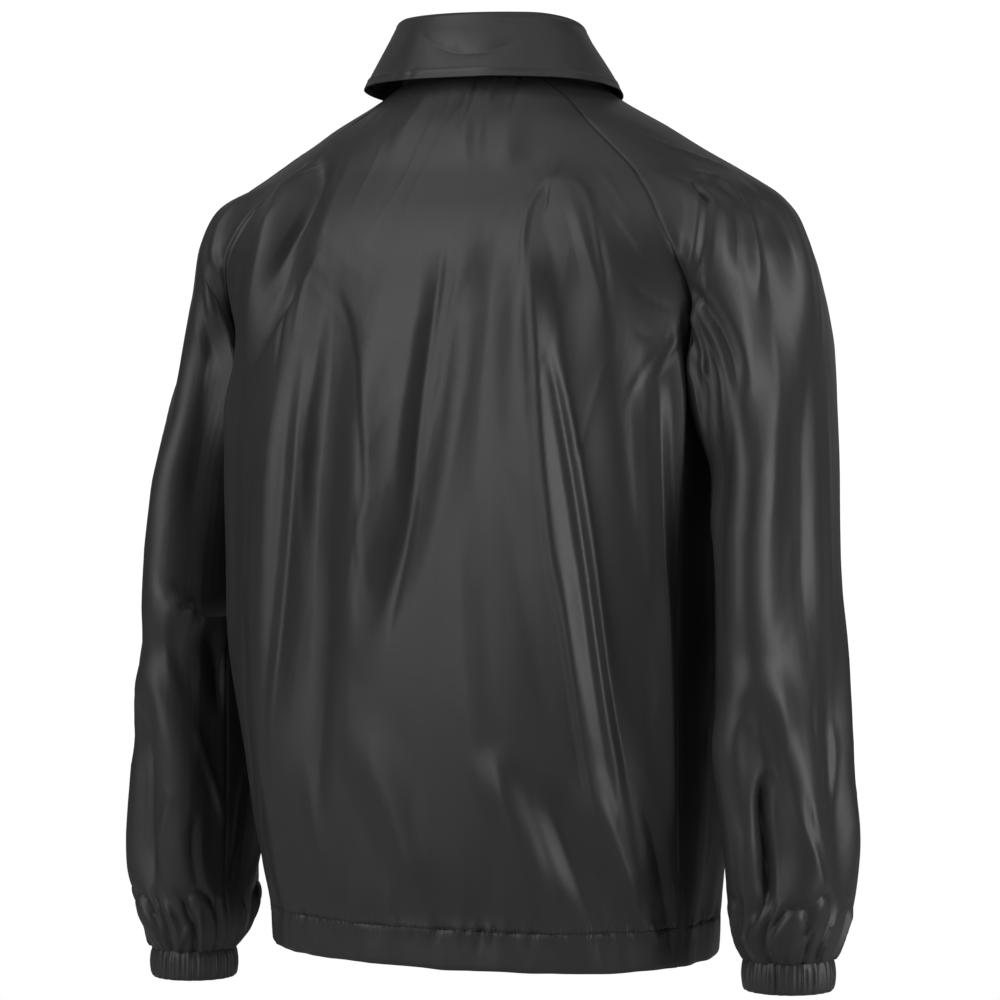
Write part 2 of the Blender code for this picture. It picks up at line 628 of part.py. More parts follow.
def snap_enamel():
    """The black paint of the snap caps."""
    return principled("snap_enamel", (0.012, 0.012, 0.013), 0.3)


def cloth(name, points, wall, material, collection, closed=False):
    """A grid of points in centimetres as a cloth wall whose outer face holds them."""
    rows, columns = points.shape[:2]
    mesh = bpy.data.meshes.new(name)
    form = bmesh.new()
    bmesh.ops.create_grid(form, x_segments=columns - 1, y_segments=rows - 1, size=0.5)
    for vertex in form.verts:
        row = round((vertex.co.y + 0.5) * (rows - 1))
        column = round((vertex.co.x + 0.5) * (columns - 1))
        vertex.co = points[row, column] * CM
    if closed:
        bmesh.ops.remove_doubles(form, verts=form.verts, dist=1e-6)
    form.to_mesh(mesh)
    form.free()
    mesh.materials.append(material)
    piece = bpy.data.objects.new(name, mesh)
    collection.objects.link(piece)
    shell = piece.modifiers.new("wall", "SOLIDIFY")
    shell.thickness = wall * CM
    shell.offset = -1.0
    return piece


def snap(name, place, facing, material, collection):
    """A snap cap: a shallow disc with a rounded edge, its foot just clear of the cloth."""
    form = bmesh.new()
    radius, depth = SNAP_RADIUS * CM, SNAP_DEPTH * CM
    bmesh.ops.create_cone(form, cap_ends=True, segments=SNAP_SIDES, radius1=radius, radius2=radius, depth=depth)
    bmesh.ops.translate(form, verts=form.verts, vec=(0, 0, depth / 2))
    turn = Vector((0, 0, 1)).rotation_difference(Vector(facing))
    bmesh.ops.rotate(form, verts=form.verts, matrix=turn.to_matrix())
    bmesh.ops.translate(form, verts=form.verts, vec=Vector((place + facing * SEAM_GAP) * CM))
    mesh = bpy.data.meshes.new(name)
    form.to_mesh(mesh)
    form.free()
    mesh.materials.append(material)
    piece = bpy.data.objects.new(name, mesh)
    collection.objects.link(piece)
    edge = piece.modifiers.new("edge", "BEVEL")
    edge.width = 0.4 * depth
    edge.segments = 1
    return piece


def make_back(material, collection):
    half = SEAM_GAP / 2
    cloth("back", trimmed(back_points(), half, half), CLOTH_WALL, material, collection)


def make_fronts(material, collection):
    front = trimmed(front_points(), 0, SEAM_GAP / 2)
    cloth("front_left", front, CLOTH_WALL, material, collection)
    cloth("front_right", lapped_under(front, CLOTH_WALL + LAP_GAP), CLOTH_WALL, material, collection)


def make_sleeves(material, collection):
    half = SEAM_GAP / 2
    sleeve = trimmed(sleeve_points(), half, half)
    cloth("sleeve_left", lowered(sleeve, LEFT_SLEEVE_DROP), CLOTH_WALL, material, collection)
    cloth("sleeve_right", mirrored(sleeve), CLOTH_WALL, material, collection)


def make_collar(material, collection):
    cloth("collar", collar_points(), CLOTH_WALL, material, collection)


def make_hem(material, collection):
    """The casing round the hem: one piece behind and one below each front, the right one lapped under."""
    half = SEAM_GAP / 2
    back = casing_points(back_wall, shares_between(1, -1, 2 * HEM_PUCKERS_BACK + 3), HEM_PUCKERS_BACK)
    cloth("hem_back", trimmed(back, half, half), CASING_WALL, material, collection)
    shares = shares_between(0, 1, 2 * HEM_PUCKERS_FRONT + 3)
    front = casing_points(front_wall, shares, HEM_PUCKERS_FRONT, steady=ease(*HEM_LAP_SHARES, shares))
    front = trimmed(front, 0, half)
    cloth("hem_front_left", front, CASING_WALL, material, collection)
    cloth("hem_front_right", lapped_under(front, CASING_WALL + LAP_GAP), CASING_WALL, material, collection)


def make_cuffs(material, collection):
    points = cuff_points()
    cloth("cuff_left", points - (0, 0, LEFT_SLEEVE_DROP), CASING_WALL, material, collection, closed=True)
    cloth("cuff_right", mirrored(points), CASING_WALL, material, collection, closed=True)


def make_snaps(material, collection):
    """Caps down the middle of the front, each standing square on the outer front."""
    shares = SNAP_SHARE + np.array([-SEAM_STRIP, 0, SEAM_STRIP])
    for number, height in enumerate(SNAP_HEIGHTS, start=1):
        around = surface(front_wall, shares, height + np.array([[-0.5], [0.0], [0.5]]))
        facing = outward(around)[1, 1]
        place = around[1, 1] * (0, 1, 1)
        snap(f"snap_{number}", place, facing, material, collection)


def main():
    for obj in list(bpy.data.objects):
        bpy.data.objects.remove(obj)
    collection = jacket_collection("coach_jacket")
    nylon = satin_nylon()
    make_back(nylon, collection)
    make_fronts(nylon, collection)
    make_sleeves(nylon, collection)
    make_collar(nylon, collection)
    make_hem(nylon, collection)
    make_cuffs(nylon, collection)
    make_snaps(snap_enamel(), collection)


if __name__ == "__main__":
    main()
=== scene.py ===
from collections import namedtuple
from math import cos, pi, radians, sin

import bpy
import numpy as np
from mathutils import Matrix, Vector


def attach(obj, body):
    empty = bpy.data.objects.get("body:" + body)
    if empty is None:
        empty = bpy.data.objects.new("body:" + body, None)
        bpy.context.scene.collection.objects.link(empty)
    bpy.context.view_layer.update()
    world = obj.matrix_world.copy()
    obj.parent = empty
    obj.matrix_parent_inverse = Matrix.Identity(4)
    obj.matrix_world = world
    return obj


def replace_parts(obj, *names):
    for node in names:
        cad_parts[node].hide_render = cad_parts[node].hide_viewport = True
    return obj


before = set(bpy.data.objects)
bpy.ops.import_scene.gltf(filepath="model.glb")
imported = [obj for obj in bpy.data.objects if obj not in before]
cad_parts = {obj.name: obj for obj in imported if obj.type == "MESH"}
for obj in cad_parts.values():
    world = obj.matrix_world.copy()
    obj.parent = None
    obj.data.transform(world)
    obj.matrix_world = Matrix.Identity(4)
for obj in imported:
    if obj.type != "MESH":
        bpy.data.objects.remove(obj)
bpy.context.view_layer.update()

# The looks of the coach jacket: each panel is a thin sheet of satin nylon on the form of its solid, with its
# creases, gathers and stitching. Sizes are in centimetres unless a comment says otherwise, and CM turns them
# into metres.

CM = 0.01
CLOTH_WALL = 0.15
CASING_WALL = 0.2
SEAM_GAP = 0.03

NECK_HEIGHT, NECK_FRONT, NECK_DROP, NECK_HALF_WIDTH = 0.8, -0.6, 6.2, 6.7
SPLIT_HEIGHT = -11.5
UNDERARM_HEIGHT = -24.5
CASING_TOP = -67.3
HEM_HEIGHT = -70.5
SIDE_SEAM_TURN = radians(76)
# The fronts lap past the middle by this much, with this gap between them.
FRONT_LAP, LAP_GAP = 1.6, 0.1
# The share of a panel's width that its narrow column along each seam takes.
SEAM_STRIP = 0.01
LEFT_SLEEVE_DROP = 2.9
# Gaps between sleeve and body: at the underarm point, beside it, and what is added 5 cm further down.
UNDERARM_GAP, SIDE_GAP, SLEEVE_CLEARANCE, CLEARANCE_REACH = 0.12, 0.28, 0.4, 5.0
SLEEVE_SOFTNESS = 0.4
# How far round the sleeve and how far down the underarm seam draws it to the side seam.
UNDERARM_PULL, UNDERARM_REACH, SEAM_TURN_MOST = 0.12, 7.0, 0.45


def table(names, rows):
    """Named columns of numbers, with the rows put in order of the first one."""
    ordered = np.array(sorted(rows), float)
    return dict(zip(names.split(), ordered.T))


# Level sections of the shoulders, body and sleeve heads as one form.
SHOULDERS = table("height half_width back front middle power", [
    (0.8, 8.4, 6.8, 6.2, -2.8, 2),
    (-0.6, 10.4, 7.7, 7.2, -2.7, 2),
    (-3, 14.8, 9.5, 8.7, -2.6, 2),
    (-5, 18.1, 10.9, 9.6, -2.9, 2),
    (-6.6, 20.9, 12, 10.2, -3.3, 2.05),
    (-8.3, 23.7, 12.9, 10.9, -3.2, 2.1),
    (-10, 25.5, 13.5, 11.6, -2.8, 2.15),
    (-12.5, 26.9, 14.3, 12.2, -2.6, 2.2),
    (-17, 27.8, 15.4, 12.6, -2.9, 2.3),
    (-24.5, 28.7, 16.2, 13, -2.1, 2.35),
])
# Level sections of the body below the sleeves.
TORSO = table("height half_width back front middle power", [
    (-11.5, 20.2, 13.6, 12, -2.2, 2.5),
    (-20, 20.6, 14.8, 12.8, -1.6, 2.6),
    (-28, 20.6, 15.3, 13.4, -0.8, 2.7),
    (-38, 20.4, 15.2, 13.6, -0.2, 2.7),
    (-50, 20.3, 14.8, 13.6, 0, 2.6),
    (-58, 20, 14.4, 13.4, -0.5, 2.5),
    (-64, 19.6, 14, 13.4, -1.1, 2.4),
    (-67.3, 19.3, 13.7, 13.3, -1.5, 2.3),
    (-70.5, 19.1, 13.5, 13.2, -1.7, 2.3),
])
# Level sections of the sleeve that hangs at the wearer's right, x counted outwards.
SLEEVE = table("height centre middle across deep power", [
    (-11.5, 21, -2.6, 6.6, 9.8, 2.1),
    (-20, 23.2, -3, 4.9, 9.8, 2.1),
    (-28, 24.9, -2, 4.1, 9.1, 2.1),
    (-36, 25.8, -0.5, 4.2, 8.5, 2.1),
    (-46, 26.3, 0.4, 4.4, 7.9, 2.1),
    (-55, 26.7, 0.5, 4.7, 7.4, 2.1),
    (-61.5, 27.3, 0.3, 4.9, 6.8, 2.1),
    (-65.5, 27.4, 0.5, 4.7, 5.9, 2.1),
    (-68, 27.4, 0.9, 4.2, 4.8, 2),
    (-69.2, 27.5, 1.1, 3.7, 3.8, 2),
    (-71.7, 27.5, 1.1, 3.6, 3.6, 2),
])
# Where the raglan seams cross each level, as distances from the middle of the jacket.
RAGLAN = table("height back front", [
    (0.8, 6.2, 6.4),
    (-0.6, 8.2, 6.7),
    (-3, 11.2, 8.2),
    (-5, 13.6, 9.8),
    (-6.6, 15.5, 11),
    (-8.3, 17.2, 12.2),
    (-12.5, 19.9, 14.6),
    (-17, 21.6, 16.8),
    (-24.5, 22.4, 19.5),
])


def read(columns, name, height):
    """One column at any value of the table's first one, by a smooth curve through its rows."""
    heights, values = next(iter(columns.values())), columns[name]
    slopes = np.gradient(values, heights)
    height = np.clip(height, heights[0], heights[-1])
    row = np.clip(np.searchsorted(heights, height) - 1, 0, len(heights) - 2)
    span = heights[row + 1] - heights[row]
    part = (height - heights[row]) / span
    low, rise = values[row], values[row + 1] - values[row]
    lean, next_lean = slopes[row] * span, slopes[row + 1] * span
    return (
        low
        + part * lean
        + part**2 * (3 * rise - 2 * lean - next_lean)
        + part**3 * (lean + next_lean - 2 * rise)
    )


def ease(start, end, value):
    """0 at start and 1 at end, with a level beginning and finish."""
    part = np.clip((value - start) / (end - start), 0, 1)
    return part * part * (3 - 2 * part)


def bent_power(value, power):
    return np.sign(value) * np.abs(value) ** power


def section(columns, height, turn):
    """Points of a level section: turn 0 is the middle of the back, a half turn the middle of the front."""
    power = 2 / read(columns, "power", height)
    back, front = read(columns, "back", height), read(columns, "front", height)
    depth = np.where(np.cos(turn) > 0, back, front)
    x = read(columns, "half_width", height) * bent_power(np.sin(turn), power)
    y = read(columns, "middle", height) + depth * bent_power(np.cos(turn), power)
    return np.stack([x, y], axis=-1)


def turn_at(columns, height, x):
    """The turn from the middle at which a section reaches this x."""
    part = np.clip(x / read(columns, "half_width", height), 0, 1)
    return np.arcsin(part ** (read(columns, "power", height) / 2))


def spread(path, share):
    """The point at this share of each path's length."""
    steps = np.linalg.norm(np.diff(path, axis=1), axis=2)
    along = np.concatenate([np.zeros((len(path), 1)), np.cumsum(steps, axis=1)], axis=1)
    target = share * along[:, -1]
    piece = np.clip((along < target[:, None]).sum(axis=1) - 1, 0, path.shape[1] - 2)
    row = np.arange(len(path))
    part = (target - along[row, piece]) / (along[row, piece + 1] - along[row, piece])
    return path[row, piece] + part[:, None] * (path[row, piece + 1] - path[row, piece])


def between(start, end, count=61):
    """Evenly spaced turns from each start to each end."""
    return start[:, None] + (end - start)[:, None] * np.linspace(0, 1, count)


def apart(height):
    """0 where body and sleeve are one form and 1 where they hang apart."""
    return ease(SPLIT_HEIGHT, UNDERARM_HEIGHT, height)


def back_wall(share, height):
    """The right half of the back, from its middle to its seam."""
    level = height[:, None]
    zero = np.zeros_like(height)
    seam = turn_at(SHOULDERS, height, read(RAGLAN, "back", height))
    upper = spread(section(SHOULDERS, level, between(zero, seam)), share)
    lower = spread(section(TORSO, level, between(zero, zero + SIDE_SEAM_TURN)), share)
    return upper + apart(height)[:, None] * (lower - upper)


def front_wall(share, height):
    """One front, from the edge that laps past the middle to its seam."""
    level = height[:, None]
    paths = []
    seam = turn_at(SHOULDERS, height, read(RAGLAN, "front", height))
    for columns, end in (SHOULDERS, pi - seam), (TORSO, np.full_like(height, SIDE_SEAM_TURN)):
        lap = turn_at(columns, height, FRONT_LAP)
        paths.append(spread(section(columns, level, between(pi + lap, end)), share))
    upper, lower = paths
    return upper + apart(height)[:, None] * (lower - upper)


def side_of_body(y, height):
    """The x at which the body's section reaches this y, at the wearer's left."""
    away = y - read(TORSO, "middle", height)
    reach = np.where(away > 0, read(TORSO, "back", height), read(TORSO, "front", height))
    power = read(TORSO, "power", height)
    inside = 1 - np.clip(np.abs(away) / reach, 0, 1) ** power
    return read(TORSO, "half_width", height) * inside ** (1 / power)


def clear_of_body(ring, height):
    """The x of a sleeve ring's points, none nearer the body than the sleeve's clearance."""
    level = height[:, None]
    side = side_of_body(ring[..., 1], level) + SIDE_GAP
    side = side + SLEEVE_CLEARANCE * np.clip((UNDERARM_HEIGHT - level) / CLEARANCE_REACH, 0, 1)
    gap = ring[..., 0] - side
    pressed = SLEEVE_SOFTNESS * np.exp(gap / SLEEVE_SOFTNESS - 1)
    return side + np.where(gap < SLEEVE_SOFTNESS, pressed, gap)


def sleeve_wall(share, height):
    """The sleeve from its back seam, round the outside, to its front seam."""
    level = height[:, None]
    back = turn_at(SHOULDERS, height, read(RAGLAN, "back", height))
    front = turn_at(SHOULDERS, height, read(RAGLAN, "front", height))
    upper = spread(section(SHOULDERS, level, between(back, pi - front)), share)
    side = section(TORSO, height, np.full_like(height, SIDE_SEAM_TURN))
    centre, middle = read(SLEEVE, "centre", height), read(SLEEVE, "middle", height)
    across, deep = read(SLEEVE, "across", height), read(SLEEVE, "deep", height)
    start = np.arcsin(np.clip((side[:, 1] - middle) / deep, -SEAM_TURN_MOST, SEAM_TURN_MOST))
    turn = between(start, start + 2 * pi)
    power = 2 / read(SLEEVE, "power", level)
    ring = np.stack(
        [
            centre[:, None] - across[:, None] * bent_power(np.cos(turn), power),
            middle[:, None] + deep[:, None] * bent_power(np.sin(turn), power),
        ],
        axis=-1,
    )
    ring[..., 0] = clear_of_body(ring, height)
    lower = spread(ring, share)
    pull = ease(UNDERARM_PULL, 0, np.minimum(share, 1 - share))
    pull = pull * ease(UNDERARM_HEIGHT - UNDERARM_REACH, UNDERARM_HEIGHT, height)
    lower = lower + pull[:, None] * (side + (UNDERARM_GAP, 0) - ring[:, 0])
    return upper + apart(height)[:, None] * (lower - upper)


# A fold lies in a panel's own sizes, across from its middle line and up from the neck's level. It runs from
# its first place through its middle to its end. A trough has a negative depth, and crisp goes from 0 for a
# soft roll to 1 for a crease.
Fold = namedtuple("Fold", "across height mid_across mid_height end_across end_height width depth crisp")


def folds(rows):
    return [Fold(*row) for row in rows]


BACK_FOLDS = folds([
    # the wide hollow below the wearer's left shoulder blade, with its raised edges
    (7.7, -14.5, 8.4, -33, 9.8, -60, 4.8, -1.3, 0.2),
    (4.4, -17, 3.6, -36, 4, -48, 3, 0.6, 0.2),
    (12.6, -22, 13.4, -40, 14.6, -62, 3.4, 0.6, 0.2),
    # the thin fold left of the middle and its short return
    (-3.2, -14, -1.8, -30, 2.2, -44, 2.8, -0.8, 0.3),
    # the long drag lines from the shoulder blade to the hem at the wearer's right
    (-9.2, -13, -11.2, -28, -17.6, -62, 3.2, 0.6, 0.4),
    (-11.6, -14, -15, -31, -21, -60, 3.8, -0.7, 0.2),
    (-9, -9, -13, -10.5, -18.6, -27, 2.8, 0.5, 0.3),
    (-7, -11, -6.6, -20, -6.6, -36, 3, -0.4, 0.2),
    # low swells above the hem
    (-8, -52, -9.8, -59, -12.4, -65.5, 3, 0.6, 0.2),
    (-15.2, -53, -16.8, -60, -19, -65.5, 2.8, 0.6, 0.2),
    (-11.8, -54, -13.4, -60, -16, -65.5, 2.8, -0.6, 0.2),
    (4, -50, 1, -58, -2, -65, 3.6, 0.5, 0.1),
    (18, -40, 17.6, -52, 18, -64, 3, -0.6, 0.2),
    # the corners that stand out behind the arms
    (-21.4, -18.5, -23.4, -34, -23.2, -62, 3, 1.2, 0.4),
    (21.2, -18.5, 23, -34, 22.6, -58, 3, 1.4, 0.4),
    # drag folds from the wearer's left shoulder
    (13.6, -5, 11.8, -10, 15.2, -20, 2.8, -0.9, 0.2),
    (16.6, -6, 15.2, -12, 19.4, -26, 2.8, 0.8, 0.3),
    # small gathers under the collar
    (-1.4, 0.6, -1.6, -2, -2.4, -6, 1.8, 0.2, 0.1),
    (-4.8, 0.6, -5.4, -2.6, -6.8, -8, 2, 0.35, 0.1),
    (3, 0.6, 3.4, -2.4, 4.4, -6, 1.8, 0.2, 0.1),
])
# The sleeves' folds, across from the outermost line and negative behind it.
SLEEVE_FOLDS = folds([
    (-9.2, -7.5, -12.2, -13, -17.4, -22, 3.2, 0.9, 0.3),
    (-5.6, -8, -7.6, -15, -12.6, -26, 3.2, -0.9, 0.2),
    (-4, -8, -3, -12, -5.6, -22, 3.2, 0.5, 0.2),
    (-15.6, -17, -17, -26, -16, -37, 3.4, -0.8, 0.2),
    (-12.4, -26, -13.2, -36, -12.6, -47, 3.4, 0.7, 0.2),
    (-8.4, -22, -8.6, -34, -8, -46, 3.4, -0.5, 0.2),
    # the forearm's folds towards the cuff
    (-15, -58, -13, -47.5, -9, -53, 3, 0.7, 0.2),
    (-11.6, -49, -11.2, -57, -11, -66, 3, -0.8, 0.2),
    (-7.8, -50, -8, -59, -7.8, -66, 3, 0.7, 0.2),
    (-15.4, -48, -15, -57, -14.4, -66, 3, 0.6, 0.2),
    (-4.2, -44, -4, -56, -4.4, -66, 3, -0.6, 0.2),
    (-0.6, -38, -0.8, -52, -0.8, -65, 3.2, 0.6, 0.2),
    (3.6, -20, 4.2, -34, 3.2, -52, 3.4, -0.6, 0.2),
    (8, -13, 10.4, -20, 15, -26, 3.2, -0.7, 0.2),
    (8.4, -36, 12, -44, 16, -48, 3.4, 0.7, 0.2),
    (7, -44, 10.6, -51, 15, -55, 3.2, -0.7, 0.2),
    (6, -50, 6.6, -58, 6.4, -66, 3, 0.6, 0.2),
    (11.4, -54, 10.8, -60, 10.8, -66, 3, -0.6, 0.2),
])
# The fronts' folds, across from the snap line.
FRONT_FOLDS = folds([
    (7, -13, 10, -22, 17, -28, 4.2, -0.9, 0.1),
    (6.5, -24, 7, -40, 6.5, -62, 4.4, 0.7, 0.1),
    (11.6, -30, 12.2, -46, 12.2, -64, 4.4, -0.9, 0.1),
    (17, -28, 17.5, -46, 17.4, -64, 4.4, 0.8, 0.1),
    (22, -30, 22.5, -44, 22, -62, 4, -0.5, 0.1),
])

# The collar from the middle of the back (round 0) to the middle of the front (round 1): the rise and lean of
# its stand, the leaf's drop and flare from the roll line, and how far the leaf's edge slants off sideways.
COLLAR = table("round rise lean drop flare slant", [
    (0, 5.2, -1.2, 5.3, 2.8, 0),
    (0.2, 5.2, -1.3, 5.4, 3.5, 0),
    (0.35, 5.2, -1.2, 5.4, 3.9, 0),
    (0.5, 5, -1.9, 5.4, 3.3, 0),
    (0.65, 4.6, -2.3, 5.1, 3.3, 0),
    (0.78, 3.9, -1.5, 5, 2.9, 0.3),
    (0.88, 3.2, -0.4, 5.3, 2.8, 1),
    (1, 2.4, 0.3, 6.2, 2.2, 2.4),
])
# The collar's ends stop this far from the middle of the front, and its stand starts just above and inside the
# neck seam. Its roll line leans to the wearer's left by the tilt, less and less towards the ends.
COLLAR_ROLL, COLLAR_END = 0.38, 0.3
COLLAR_LIFT, COLLAR_INSET, COLLAR_TILT, TILT_END = 0.17, 0.28, 1.0, 0.75

SNAP_HEIGHTS = (-12.8, -24.8, -36.8, -48.8, -60.8)
SNAP_RADIUS, SNAP_DEPTH, SNAP_SHARE = 0.75, 0.26, 0.06

# Rows and columns of the pieces. Rows at and above the underarm match on every panel, so that the seams meet.
ARMHOLE_BEND, ARMHOLE_ROWS, SHOULDER_ROWS = -14.0, 28, 42
BACK_COLUMNS, FRONT_COLUMNS, BODY_ROWS = 281, 150, 88
SLEEVE_COLUMNS, SLEEVE_ROWS = 221, 96
CUFF_COLUMNS, CUFF_ROWS = 330, 16
CASING_COLUMNS, FRONT_CASING_COLUMNS, CASING_ROWS = 401, 210, 20
COLLAR_COLUMNS, STAND_ROWS, ROLL_ROWS, LEAF_ROWS = 130, 8, 9, 54
# How much closer together the columns lie at the seams of the body, the sleeves and the casing, and the power
# by which the rows lie closer together near the foot of a panel.
BODY_EASE, SLEEVE_EASE, CASING_EASE, FOOT_EASE = 0.35, 0.65, 0.3, 1.6
# Folds fade out over these lengths: from side seams, above casing or cuff, below the neck seam, from the
# front's lap, and from the collar's ends.
SEAM_FADE, FOOT_FADE, NECK_FADE, LAP_FADE, COLLAR_END_FADE = 1.6, 3.0, 1.3, 2.5, 1.2
# The front underneath is set back fully up to the first of these past the lap, and not at all from the second
# on. The neck's edge at the front is a bowl of this power, found in this many rounds.
LAP_INNER, LAP_OUTER, BOWL_POWER, BOWL_ROUNDS = 0.8, 3.0, 0.8, 40
# The shares of its length over which a fold or crease rises from its start and sinks towards its end, and how
# much of a crease is a soft roll.
FOLD_START, FOLD_END, CREASE_SOFTNESS = (-0.02, 0.3), (1.02, 0.7), 0.2

# The front casings lie smooth where they lap, up to the first of these shares.
HEM_LAP_SHARES = (0.16, 0.36)
CUFF_TOP, CUFF_FOOT = -69.2, -71.7
CUFF_GATHERS, CUFF_FLAT = 22, 23.0
# Places round a cuff are counted up to this much from its middle line. A panel without a seam on one side has
# it this far off.
CUFF_HALF_TURN, FAR = 20, 50
# The body's length, the depth of the collar's leaf, and the points along each part of the neck's edge.
PANEL_LENGTH, COLLAR_FALL, NECK_POINTS = 70, 5.3, 41
# Seeds of the hem's puckers, which a panel and its casing share, and of the cuffs' gathers.
BACK_HEM_SEED, FRONT_HEM_SEED, GATHER_SEED = 51, 61, 0.7

# Thickness of a panel and of the collar, the seam allowance, and what is left open between pieces at a seam.
SHEET_WALL, COLLAR_WALL, ALLOWANCE, TURNING, TRIM = 0.07, 0.1, 0.4, 0.01, 0.004
PANEL_TUCK, SLEEVE_TUCK = 0.14, 0.26
# The groove at a seam, and the puckers beside it: their lift, how wide they are and where they begin.
SEAM_DEPTH, SEAM_REACH = 0.1, 0.2
PUCKER_LIFT, PUCKER_WIDTH, PUCKER_START = 0.045, 0.7, 0.15
STITCH_LENGTH, STITCH_STEP, THREAD_RADIUS = 0.24, 0.36, 0.042
# Where the stitching runs: on which row of a panel above its casing, and how far down the collar's leaf.
HEM_STITCH_ROW, COLLAR_STITCH_SHARE = 2.4, 0.87
# The finest ticks in the cloth lie within this many metres of the hem's stitching.
TICK_REACH = 0.007

# In metres: the camera's aim and place, and the floor.
AIM = Vector((-0.0107, -0.0054, -0.335))
VIEW_AZIMUTH, VIEW_ELEVATION, VIEW_DISTANCE, VIEW_LENS = 207.0, 2.0, 3.1, 135.58
FLOOR_HEIGHT, FLOOR_RADIUS, FLOOR_GLOW = -1.02, 4.0, 1.0
# Soft boxes: azimuth and elevation in degrees, distance, width and length in metres, and watts.
LAMPS = {
    "left": (157, 6, 3.0, 2.2, 3.6, 44),
    "high left": (142, 42, 3.0, 2.4, 2.4, 24),
    "right": (271, 8, 3.0, 1.4, 3.2, 62),
    "top": (205, 75, 3.0, 2.4, 2.4, 13),
    "front left": (2, 24, 3.2, 2.4, 3.0, 6),
    "front right": (46, 24, 3.2, 2.4, 3.0, 5),
}


def surface(wall, shares, heights):
    """The wall's points over a grid of shares and heights, as rows, columns and x, y, z."""
    share, height = np.broadcast_arrays(np.asarray(shares)[None, :], heights)
    flat = wall(np.abs(share).ravel(), height.ravel()).reshape(*share.shape, 2)
    flat[..., 0] *= np.where(share < 0, -1, 1)
    return np.concatenate([flat, height[..., None]], axis=2)


def level_out(points):
    """The outward direction kept level."""
    normal = outward(points) * (1, 1, 0)
    return normal / np.maximum(np.linalg.norm(normal, axis=2, keepdims=True), 1e-9)


def outward(points):
    """The direction out of a grid whose columns run left to right and rows upwards, seen from outside."""
    normal = np.cross(np.gradient(points, axis=1), np.gradient(points, axis=0))
    return normal / np.maximum(np.linalg.norm(normal, axis=2, keepdims=True), 1e-9)


def across_of(points, middle):
    """How far along its row each point lies from the column at the middle."""
    steps = np.linalg.norm(np.diff(points, axis=1), axis=2)
    along = np.concatenate([np.zeros((len(points), 1)), np.cumsum(steps, axis=1)], axis=1)
    columns = np.arange(points.shape[1])
    return along - np.array([np.interp(middle, columns, row) for row in along])[:, None]


def fold_line(fold, pieces=12):
    """Points along a fold: a curve from its start through its middle to its end."""
    part = np.linspace(0, 1, pieces + 1)[:, None]
    start, middle, end = np.array(fold[:6]).reshape(3, 2)
    bend = 2 * middle - (start + end) / 2
    return (1 - part) ** 2 * start + 2 * part * (1 - part) * bend + part**2 * end


def from_line(across, height, line):
    """Each point's distance from a line, on which side of it it lies, and at what part of its length."""
    point = np.stack([across, height], axis=-1)[..., None, :] - line[:-1]
    step = np.diff(line, axis=0)
    along = np.clip((point * step).sum(axis=-1) / (step**2).sum(axis=-1), 0, 1)
    off = point - along[..., None] * step
    away = np.linalg.norm(off, axis=-1)
    turn = step[:, 0] * off[..., 1] - step[:, 1] * off[..., 0]
    nearest = away.argmin(axis=-1)[..., None]
    picked = [np.take_along_axis(values, nearest, -1)[..., 0] for values in (away, turn, along)]
    return picked[0], picked[1], (nearest[..., 0] + picked[2]) / len(step)


def ends_fade(place):
    return ease(*FOLD_START, place) * ease(*FOLD_END, place)


def fold_shape(across, height, fold):
    """How far one fold lifts each point of a panel: most along its line, and less towards its two ends."""
    distance, _, place = from_line(across, height, fold_line(fold))
    near = np.clip(1 - distance / fold.width, 0, 1)
    soft = near * near * (3 - 2 * near)
    return fold.depth * ends_fade(place) * (soft + fold.crisp * (near**2 - soft))


def folded(points, panel_folds, across, fade):
    """The grid with its folds raised along its normals, as far as the fade lets them."""
    lift = sum(fold_shape(across, points[..., 2], fold) for fold in panel_folds)
    return points + outward(points) * (lift * fade)[..., None]


def trimmed(points, left, right):
    """The grid with its side edges drawn in by these gaps, square to each edge."""
    points = points.copy()
    for edge, inner, gap in (points[:, 0], points[:, 1], left), (points[:, -1], points[:, -2], right):
        along = np.gradient(edge, axis=0)
        along /= np.linalg.norm(along, axis=1, keepdims=True)
        step = inner - edge
        step -= (step * along).sum(axis=1, keepdims=True) * along
        edge += step * gap / np.maximum(np.linalg.norm(step, axis=1, keepdims=True), 1e-6)
    return points


def level_rows(low, top, lower_rows):
    """Heights of a panel's rows: the rows of the armhole and shoulder match on every panel."""
    top = np.asarray(top, float)
    rises = np.linspace(0, 1, lower_rows + 1)[:, None] ** FOOT_EASE
    lower = low + rises * (UNDERARM_HEIGHT - low) + 0 * top
    armhole = np.linspace(UNDERARM_HEIGHT, ARMHOLE_BEND, ARMHOLE_ROWS + 1)[1:, None] + 0 * top
    shoulder = ARMHOLE_BEND + np.linspace(0, 1, SHOULDER_ROWS + 1)[1:, None] * (top - ARMHOLE_BEND)
    return np.concatenate([lower, armhole, shoulder])


def mirrored(points):
    return points[:, ::-1] * (-1, 1, 1)


def neck_of_front(share):
    """The height of the neck edge along one front: a bowl between the two raglan seams."""
    height = np.full_like(share, NECK_FRONT - NECK_DROP)
    for _ in range(BOWL_ROUNDS):
        x = front_wall(share, height)[:, 0]
        bowl = np.clip(1 - (x / NECK_HALF_WIDTH) ** 2, 0, 1) ** BOWL_POWER
        height = (height + NECK_FRONT - NECK_DROP * bowl) / 2
    return height


def seam_fade(across, low, high, reach=SEAM_FADE):
    """0 at two side seams and 1 further in than reach."""
    return ease(0, reach, across - low) * ease(0, reach, high - across)


def end_fade(height, foot, top):
    """0 at the foot of a panel and at its top edge, and 1 between."""
    return ease(foot, foot + FOOT_FADE, height) * ease(0, NECK_FADE, top - height)


